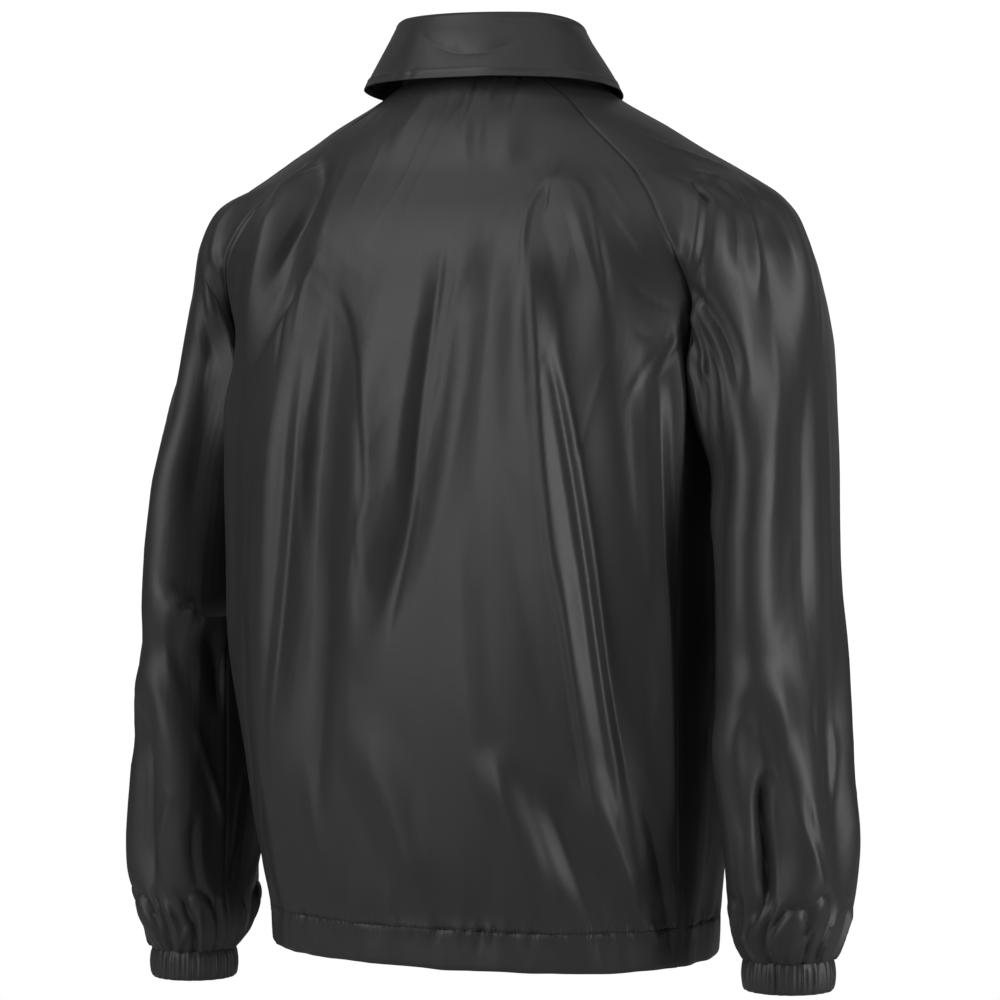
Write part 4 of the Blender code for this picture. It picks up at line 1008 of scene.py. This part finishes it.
def casing_sheet(wall, shares, across_from, seed, own_creases, steady=1.0, both_seams=False):
    """One piece of the hem casing, with the folds and puckers of the panel above it."""
    rises = np.linspace(0, 1, CASING_ROWS)[:, None]
    heights = HEM_HEIGHT + rises * (CASING_TOP - 0.005 - HEM_HEIGHT)
    points = surface(wall, shares, heights)
    across = across_from(points)
    height = points[..., 2]
    low, high = (np.take(across, [end], axis=1) for end in (0, -1))
    near = ease(0, 1, np.abs(across - high)) * (ease(0, 1, np.abs(across - low)) if both_seams else 1)
    swell = 0.04 * np.sin(pi * rises) - 0.1 * line_of(rises, 0.05)
    dips = seam_dip(-np.abs(across), -np.abs(high), FAR)
    fine = 0.06 * ripple(across, 0.38, 3.5, seed + 8) * np.exp(-np.abs(height - CASING_TOP) / 0.5)
    drawn = hem_draw(across, height, seed) + creased(across, height, own_creases) + fine
    lift = drawn * near * steady + swell + dips
    points = points + level_out(points) * lift[..., None]
    sag = 0.09 * noise(across / 2.3 + 3, 0 * across + 6.5, seed + 7) * (1 - rises)
    points[..., 2] += sag * near
    return points, across, height


def collar_sheet():
    """The collar as one folded strip, with the leaf's dents, its edge stitching and the puckers beside it."""
    line = neck_line(COLLAR_COLUMNS)
    tangent, out = level_directions(line)
    line = line + (0, 0, COLLAR_LIFT) - COLLAR_INSET * out
    round_ = np.linspace(0, 1, COLLAR_COLUMNS)
    sides = []
    for side in 1, -1:
        strips = []
        for shift, up, back, tilt in collar_profile(round_):
            strip = line + out * shift[:, None] + np.outer(up, (0, 0, 1)) - tangent * back[:, None]
            strips.append(strip * (side, 1, 1) + np.outer(tilt * ease(1, TILT_END, round_), (1, 0, 0)))
        sides.append(np.stack(strips))
    left, right = sides
    points = np.concatenate([left[:, :0:-1], right], axis=1)
    down = np.clip((np.arange(len(points)) - STAND_ROWS - ROLL_ROWS + 1) / LEAF_ROWS, 0, 1)[:, None]
    steps = np.linalg.norm(np.diff(points[-1], axis=0), axis=1)
    across = np.concatenate([[0], np.cumsum(steps)])
    across = (across[-1] / 2 - across)[None, :] + 0 * down
    # A curved dent lies a little to the wearer's right of the middle, with a shallow hollow above it.
    beside = across + 1.2
    dent = 0.2 * np.exp(-np.abs(down - 0.6 + 0.011 * beside**2 + 0.02 * beside) / 0.1)
    dent = dent * np.exp(-((beside / 4.6) ** 4))
    hollow = -0.12 * line_of(down - 0.3, 0.24) * line_of(beside, 5.2)
    soft = 0.15 * noise(across / 4.1 + 4, down * 1.3 + 1, 81) + 0.02 * noise(across / 1.1, down * 3 + 6, 82)
    pucker = 0.09 * noise(across / 0.62, down * 2 + 3, 83) * line_of(down - 0.9, 0.08)
    pucker = pucker * np.clip(0.3 + noise(across / 4 + 2, down, 84), 0, 1)
    stitched = -0.05 * line_of(down - COLLAR_STITCH_SHARE, 0.02)
    ends = ease(0, COLLAR_END_FADE, np.abs(across).max() - np.abs(across))
    lift = (dent + hollow + soft + pucker) * ease(0, 0.25, down) * ends + stitched
    return raised(points, lift), across, down * COLLAR_FALL + 0 * across


def cloth(name, sheet, wall, material, closed=False):
    """A panel: a grid laid on the sheet's points and thickened inwards, with its cut as its UV map."""
    points, across, along = sheet
    rows, columns = points.shape[:2]
    bpy.ops.object.select_all(action="DESELECT")
    bpy.ops.mesh.primitive_grid_add(x_subdivisions=columns - 1, y_subdivisions=rows - 1, size=2)
    piece = bpy.context.object
    piece.name = piece.data.name = name
    mesh = piece.data
    start = np.empty(len(mesh.vertices) * 3)
    mesh.vertices.foreach_get("co", start)
    start = start.reshape(-1, 3)
    row = np.rint((start[:, 1] + 1) / 2 * (rows - 1)).astype(int)
    column = np.rint((start[:, 0] + 1) / 2 * (columns - 1)).astype(int)
    mesh.vertices.foreach_set("co", (points[row, column] * CM).ravel())
    corner = np.empty(len(mesh.loops), int)
    mesh.loops.foreach_get("vertex_index", corner)
    cut = np.stack([across[row, column], along[row, column]], axis=1) * CM
    mesh.uv_layers[0].name = "cut"
    mesh.uv_layers[0].data.foreach_set("uv", cut[corner].ravel())
    mesh.materials.append(material)
    mesh.update()
    if closed:
        bpy.ops.object.mode_set(mode="EDIT")
        bpy.ops.mesh.select_all(action="SELECT")
        bpy.ops.mesh.remove_doubles(threshold=1e-6)
        bpy.ops.object.mode_set(mode="OBJECT")
    shell = piece.modifiers.new("wall", "SOLIDIFY")
    shell.thickness = wall * CM
    shell.offset = -1.0
    bpy.ops.object.modifier_apply(modifier="wall")
    bpy.ops.object.shade_smooth_by_angle(angle=radians(50))
    return piece


def mirror_sheet(sheet):
    points, across, along = sheet
    return mirrored(points), -across[:, ::-1], along[:, ::-1]


def lowered_sheet(sheet, drop):
    return sheet[0] - (0, 0, drop), *sheet[1:]


def under_sheet(sheet, step):
    """The wearer's right front or its casing, made from the left one and set back where it passes under."""
    return lapped_under(sheet[0], step), -sheet[1][:, ::-1], sheet[2][:, ::-1]


def sewn(piece, node):
    """Says of a panel which solid it stands for and what it rides on."""
    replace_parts(piece, node)
    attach(piece, "root")


class Level:
    """A socket of a material, so that sums on it read as they do on numbers."""

    def __init__(self, socket):
        self.socket = socket

    def joined(self, other, operation, turned=False):
        tree = self.socket.id_data
        node = tree.nodes.new("ShaderNodeMath")
        node.operation = operation
        pair = (other, self) if turned else (self, other)
        for place, value in zip(node.inputs, pair):
            feed(tree, place, value)
        return Level(node.outputs[0])

    def __add__(self, other):
        return self.joined(other, "ADD")

    def __mul__(self, other):
        return self.joined(other, "MULTIPLY")

    def __sub__(self, other):
        return self.joined(other, "SUBTRACT")

    def __rsub__(self, other):
        return self.joined(other, "SUBTRACT", turned=True)

    def sine(self):
        return self.joined(0, "SINE")

    def exponent(self):
        return self.joined(0, "EXPONENT")

    __radd__ = __add__
    __rmul__ = __mul__


def feed(tree, place, value):
    if isinstance(value, Level):
        tree.links.new(value.socket, place)
    else:
        place.default_value = value


class Finish:
    """A material in the making."""

    def __init__(self, name):
        self.material = bpy.data.materials.new(name)
        self.material.use_nodes = True
        self.tree = self.material.node_tree
        self.shader = self.tree.nodes["Principled BSDF"]

    def node(self, kind, settings=None, output=0, **sockets):
        node = self.tree.nodes.new(kind)
        for name, value in (settings or {}).items():
            setattr(node, name, value)
        for name, value in sockets.items():
            feed(self.tree, node.inputs[name.replace("_", " ")], value)
        return Level(node.outputs[output])

    def noise(self, place, scale, detail):
        return self.node("ShaderNodeTexNoise", Vector=place, Scale=scale, Detail=detail)

    def scaled(self, place, across, along):
        """A place on the cloth, counted in units of which a metre holds this many."""
        return self.node("ShaderNodeMapping", Vector=place, Scale=(across, along, 1.0))

    def grain(self, place, across, along, detail):
        """Noise with this many hills to the metre across and along the cloth."""
        return self.noise(self.scaled(place, across, along), 1.0, detail)

    def parts(self, vector):
        """The first two numbers of a vector."""
        node = self.node("ShaderNodeSeparateXYZ", Vector=vector).socket.node
        return Level(node.outputs[0]), Level(node.outputs[1])

    def blend(self, share, first, second):
        """One colour where the share is 0 and another where it is 1."""
        mixed = self.node("ShaderNodeMix", {"data_type": "RGBA"}, output=2)
        for place, value in zip((0, 6, 7), (share, first, second)):
            feed(self.tree, mixed.socket.node.inputs[place], value)
        return mixed

    def bump(self, height, strength, distance):
        return self.node("ShaderNodeBump", Height=height, Strength=strength, Distance=distance)

    def set(self, **sockets):
        for name, value in sockets.items():
            feed(self.tree, self.shader.inputs[name.replace("_", " ")], value)


def satin_nylon(name, puckered):
    """Charcoal black nylon: a broad sheen, crinkles finer than the folds, and a weave seen from close by.

    A puckered one also has the finest ticks of the hem's stitching, which lie along its row.
    """
    finish = Finish(name)
    cut = finish.node("ShaderNodeUVMap", {"uv_map": "cut"})
    crinkle = finish.grain(cut, 60.0, 16.0, 4.0)
    fine = finish.grain(cut, 220.0, 150.0, 2.0)
    warp, weft = finish.parts(finish.scaled(cut, 1500.0, 1500.0))
    height = crinkle * 0.75 + fine * 0.2 + warp.sine() * weft.sine() * 0.012
    if puckered:
        above = finish.parts(cut)[1] - CASING_TOP * CM
        near = (above * above * (-1 / TICK_REACH**2)).exponent()
        height = height + finish.grain(cut, 330.0, 70.0, 1.0) * near * 4.0
    tone = finish.grain(cut, 9.0, 5.0, 3.0)
    colour = finish.blend(tone, (0.026, 0.025, 0.0255, 1.0), (0.036, 0.0345, 0.0345, 1.0))
    finish.set(Base_Color=colour, Roughness=0.38 + 0.1 * tone + 0.06 * fine, Specular_IOR_Level=0.5)
    finish.set(Normal=finish.bump(height, 0.22, 0.002))
    return finish.material


def thread_polyester():
    finish = Finish("thread_polyester")
    place = finish.node("ShaderNodeTexCoord", output=3)
    twist = finish.noise(place, 2600.0, 1.0)
    finish.set(Base_Color=(0.008, 0.008, 0.008, 1.0), Roughness=0.6 + 0.2 * twist)
    finish.set(Normal=finish.bump(twist, 0.3, 0.0003))
    return finish.material


def snap_enamel():
    finish = Finish("snap_enamel")
    place = finish.node("ShaderNodeTexCoord", output=3)
    skin = finish.noise(place, 900.0, 2.0)
    finish.set(Base_Color=(0.012, 0.012, 0.013, 1.0), Roughness=0.2 + 0.2 * skin, Coat_Weight=0.3)
    finish.set(Normal=finish.bump(skin, 0.05, 0.0004))
    return finish.material


def one_stitch(material):
    """A stitch of thread along x: a short round piece that dips into the cloth at both ends."""
    bpy.ops.object.select_all(action="DESELECT")
    radius, length = THREAD_RADIUS * CM, STITCH_LENGTH * CM
    bpy.ops.mesh.primitive_cylinder_add(vertices=6, radius=radius, depth=length, rotation=(0, pi / 2, 0))
    piece = bpy.context.object
    bpy.ops.object.transform_apply(location=True, rotation=True, scale=True)
    bpy.ops.object.mode_set(mode="EDIT")
    bpy.ops.mesh.select_all(action="SELECT")
    bpy.ops.mesh.bisect(plane_co=(0, 0, 0), plane_no=(1, 0, 0))
    bpy.ops.object.mode_set(mode="OBJECT")
    for vertex in piece.data.vertices:
        end = abs(vertex.co.x) / (length / 2)
        thinner = 1 - 0.35 * end
        vertex.co.y *= thinner
        vertex.co.z = vertex.co.z * thinner - 0.9 * radius * end
    piece.data.materials.append(material)
    return piece


def stitch_row(name, pattern, path, facing):
    """Copies of the stitch laid end to end along a path, their backs on the cloth."""
    steps = np.linalg.norm(np.diff(path, axis=0), axis=1)
    along = np.concatenate([[0], np.cumsum(steps)])
    count = int(along[-1] / STITCH_STEP)
    middles = (np.arange(count) + 0.5) * along[-1] / count

    def at(distance, values):
        return np.stack([np.interp(distance, along, values[:, k]) for k in range(3)], axis=1)

    place, up = at(middles, path), at(middles, facing)
    run = at(middles + STITCH_LENGTH / 2, path) - at(middles - STITCH_LENGTH / 2, path)
    run /= np.linalg.norm(run, axis=1, keepdims=True)
    up /= np.linalg.norm(up, axis=1, keepdims=True)
    side = np.cross(up, run)
    shape = np.array([vertex.co[:] for vertex in pattern.data.vertices]) / CM
    ways = enumerate((run, side, up))
    corners = place[:, None] + sum(shape[None, :, k, None] * way[:, None] for k, way in ways)
    corners = corners + up[:, None] * 0.5 * THREAD_RADIUS
    faces = [tuple(face.vertices) for face in pattern.data.polygons]
    every = [tuple(v + len(shape) * n for v in face) for n in range(count) for face in faces]
    mesh = bpy.data.meshes.new(name)
    mesh.from_pydata((corners.reshape(-1, 3) * CM).tolist(), [], every)
    mesh.materials.append(pattern.data.materials[0])
    mesh.shade_smooth()
    piece = bpy.data.objects.new(name, mesh)
    bpy.context.scene.collection.objects.link(piece)
    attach(piece, "root")


def on_sheet(sheet, row):
    """A path along one row of a sheet, or between two of its rows, and the directions out of it."""
    points = sheet[0]
    low = int(np.floor(row))
    part = row - low
    high = min(low + 1, len(points) - 1)
    return [values[low] * (1 - part) + values[high] * part for values in (points, outward(points))]


def snap_cap(name, place, facing, material):
    """A snap's cap: a low dome with a rolled edge and a shallow dish in its middle."""
    bpy.ops.object.select_all(action="DESELECT")
    radius, depth = SNAP_RADIUS * CM, SNAP_DEPTH * CM
    bpy.ops.mesh.primitive_cylinder_add(vertices=48, radius=radius, depth=depth, location=(0, 0, depth / 2))
    piece = bpy.context.object
    bpy.ops.object.transform_apply(location=True, rotation=True, scale=True)
    bpy.ops.object.mode_set(mode="EDIT")
    bpy.ops.mesh.select_mode(type="FACE")
    bpy.ops.mesh.select_all(action="DESELECT")
    bpy.ops.object.mode_set(mode="OBJECT")
    for face in piece.data.polygons:
        face.select = face.normal.z > 0.9
    bpy.ops.object.mode_set(mode="EDIT")
    for inwards, rise in (0.16, 0.02), (0.14, -0.25), (0.2, -0.15), (0.2, -0.03):
        bpy.ops.mesh.inset(thickness=inwards * radius, depth=rise * depth)
    bpy.ops.object.mode_set(mode="OBJECT")
    bevel = piece.modifiers.new("rolled edge", "BEVEL")
    bevel.width, bevel.segments = 0.3 * depth, 3
    bevel.limit_method, bevel.angle_limit = "ANGLE", radians(40)
    bpy.ops.object.modifier_apply(modifier=bevel.name)
    bpy.ops.object.shade_smooth_by_angle(angle=radians(40))
    turn = Vector((0, 0, 1)).rotation_difference(Vector(facing)).to_matrix().to_4x4()
    piece.data.transform(Matrix.Translation(Vector(place) * CM) @ turn)
    piece.name = piece.data.name = name
    piece.data.materials.append(material)
    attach(piece, "root")
    return piece


def sew_body(nylon):
    """The back and the two fronts."""
    back = back_sheet()
    back = tucked((trimmed(back[0], TRIM, TRIM), *back[1:]), left=True, right=True)
    sewn(cloth("back_panel", back, SHEET_WALL, nylon), "back")
    left = front_sheet()
    left = tucked((trimmed(left[0], 0, TRIM), *left[1:]), right=True)
    sewn(cloth("front_panel_left", left, SHEET_WALL, nylon), "front_left")
    right = under_sheet(left, CLOTH_WALL + LAP_GAP)
    sewn(cloth("front_panel_right", right, SHEET_WALL, nylon), "front_right")
    return back, left, right


def sew_sleeves(nylon):
    """Each sleeve, with the elastic cuff at its end."""
    for side, seed, own_creases in ("left", 7, LEFT_SLEEVE_CREASES), ("right", 9, RIGHT_SLEEVE_CREASES):
        sleeve = sleeve_sheet(seed, own_creases)
        sleeve = (trimmed(sleeve[0], TRIM, TRIM), *sleeve[1:])
        sleeve = tucked(sleeve, left=True, right=True, tuck=SLEEVE_TUCK)
        band = tucked(cuff_band(), level_out, top=True)
        if side == "left":
            sleeve = lowered(sleeve[0], LEFT_SLEEVE_DROP), *sleeve[1:]
            band = lowered_sheet(band, LEFT_SLEEVE_DROP)
        else:
            sleeve, band = mirror_sheet(sleeve), mirror_sheet(band)
        piece = cloth(f"sleeve_panel_{side}", sleeve, SHEET_WALL, nylon)
        sewn(piece, f"sleeve_{side}")
        piece = cloth(f"cuff_band_{side}", band, SHEET_WALL, nylon, closed=True)
        sewn(piece, f"cuff_{side}")


def sew_collar(nylon):
    collar = collar_sheet()
    piece = cloth("collar_strip", tucked(collar, foot=True, tuck=0.0), COLLAR_WALL, nylon)
    sewn(piece, "collar")
    return collar


def sew_casing(nylon):
    """The three lengths of the hem casing."""

    def across_back(points):
        return -across_of(points, (CASING_COLUMNS - 1) / 2)

    def across_front(points):
        return across_of(points, 0) - FRONT_LAP

    shares = eased_shares(1, -1, CASING_COLUMNS, CASING_EASE)
    back = casing_sheet(back_wall, shares, across_back, BACK_HEM_SEED, BACK_CREASES, both_seams=True)
    back = tucked(back, level_out, left=True, right=True, top=True)
    sewn(cloth("hem_casing_back", back, SHEET_WALL, nylon), "hem_back")
    shares = np.linspace(0, 1, FRONT_CASING_COLUMNS)
    steady = ease(*HEM_LAP_SHARES, shares)
    left = casing_sheet(front_wall, shares, across_front, FRONT_HEM_SEED, FRONT_CREASES, steady)
    right = tucked(under_sheet(left, CASING_WALL + LAP_GAP), level_out, top=True)
    left = tucked(left, level_out, top=True)
    sewn(cloth("hem_casing_front_left", left, SHEET_WALL, nylon), "hem_front_left")
    sewn(cloth("hem_casing_front_right", right, SHEET_WALL, nylon), "hem_front_right")


def stitch_seams(back, left, right, collar):
    """The rows of stitching that show: along the hem casing, and beside the collar's edge."""
    pattern = one_stitch(thread_polyester())
    rows = {
        "stitches_hem_back": on_sheet(back, HEM_STITCH_ROW),
        "stitches_hem_left": on_sheet(left, HEM_STITCH_ROW),
        "stitches_hem_right": on_sheet(right, HEM_STITCH_ROW),
        "stitches_collar": on_sheet(collar, STAND_ROWS + ROLL_ROWS - 1 + COLLAR_STITCH_SHARE * LEAF_ROWS),
    }
    for name, (path, facing) in rows.items():
        stitch_row(name, pattern, path, facing)
    bpy.data.objects.remove(pattern)


def fasten_snaps():
    enamel = snap_enamel()
    shares = SNAP_SHARE + np.array([-SEAM_STRIP, 0, SEAM_STRIP])
    for number, height in enumerate(SNAP_HEIGHTS, start=1):
        around = surface(front_wall, shares, height + np.array([[-0.5], [0.0], [0.5]]))
        facing = outward(around)[1, 1]
        place = around[1, 1] * (0, 1, 1) + facing * SEAM_GAP
        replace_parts(snap_cap(f"snap_cap_{number}", place, facing, enamel), f"snap_{number}")


def dress():
    """All of the jacket's cloth, thread and snaps."""
    nylon, hemmed = satin_nylon("satin_nylon", False), satin_nylon("satin_nylon_hemmed", True)
    back, left, right = sew_body(hemmed)
    sew_sleeves(nylon)
    collar = sew_collar(nylon)
    sew_casing(hemmed)
    stitch_seams(back, left, right, collar)
    fasten_snaps()


def direction(azimuth, elevation):
    """The way from the jacket to what stands at this azimuth and elevation."""
    turn, rise = radians(azimuth), radians(elevation)
    return Vector((sin(turn) * cos(rise), -cos(turn) * cos(rise), sin(rise)))


def faced(name, data, away, distance):
    """A lamp or camera set at this distance and turned to the jacket."""
    placed = bpy.data.objects.new(name, data)
    placed.location = AIM + away * distance
    placed.rotation_euler = away.to_track_quat("Z", "Y").to_euler()
    bpy.context.scene.collection.objects.link(placed)
    return placed


def soft_light(name, azimuth, elevation, distance, width, length, watts):
    """A soft box that faces the jacket from this direction."""
    lamp = bpy.data.lights.new(name, "AREA")
    lamp.shape = "RECTANGLE"
    lamp.size, lamp.size_y = width, length
    lamp.energy = watts
    faced(name, lamp, direction(azimuth, elevation), distance)


def pale_room():
    """White where the camera looks past the jacket, and dim and even where the cloth reflects it."""
    world = bpy.data.worlds.new("studio")
    bpy.context.scene.world = world
    world.use_nodes = True
    tree = world.node_tree
    room = tree.nodes["Background"]
    room.inputs["Color"].default_value = (0.9, 0.94, 1.0, 1.0)
    room.inputs["Strength"].default_value = 0.04
    white = tree.nodes.new("ShaderNodeBackground")
    white.inputs["Color"].default_value = (1.0, 1.0, 1.0, 1.0)
    white.inputs["Strength"].default_value = 1.05
    seen = tree.nodes.new("ShaderNodeLightPath")
    mix = tree.nodes.new("ShaderNodeMixShader")
    tree.links.new(seen.outputs["Is Camera Ray"], mix.inputs[0])
    tree.links.new(room.outputs[0], mix.inputs[1])
    tree.links.new(white.outputs[0], mix.inputs[2])
    tree.links.new(mix.outputs[0], tree.nodes["World Output"].inputs["Surface"])


def pale_floor():
    """A plain grey floor that the camera sees as white."""
    bpy.ops.object.select_all(action="DESELECT")
    place = (0, 0, FLOOR_HEIGHT)
    bpy.ops.mesh.primitive_circle_add(vertices=96, radius=FLOOR_RADIUS, fill_type="NGON", location=place)
    floor = bpy.context.object
    floor.name = "floor"
    pale = Finish("pale_floor")
    pale.set(Base_Color=(0.5, 0.5, 0.5, 1.0), Roughness=0.9)
    bright = pale.node("ShaderNodeEmission", Strength=FLOOR_GLOW)
    seen = pale.node("ShaderNodeLightPath")
    both = pale.node("ShaderNodeMixShader", Fac=seen).socket.node
    pale.tree.links.new(pale.shader.outputs[0], both.inputs[1])
    pale.tree.links.new(bright.socket, both.inputs[2])
    pale.tree.links.new(both.outputs[0], pale.tree.nodes["Material Output"].inputs["Surface"])
    floor.data.materials.append(pale.material)


def studio():
    """A pale floor and backdrop, soft lamps, and the camera behind the wearer's right shoulder."""
    scene = bpy.context.scene
    scene.view_settings.view_transform = "Standard"
    pale_room()
    pale_floor()
    for name, lamp in LAMPS.items():
        soft_light(name, *lamp)
    lens = bpy.data.cameras.new("camera")
    lens.lens = VIEW_LENS
    scene.camera = faced("camera", lens, direction(VIEW_AZIMUTH, VIEW_ELEVATION), VIEW_DISTANCE)


dress()
studio()
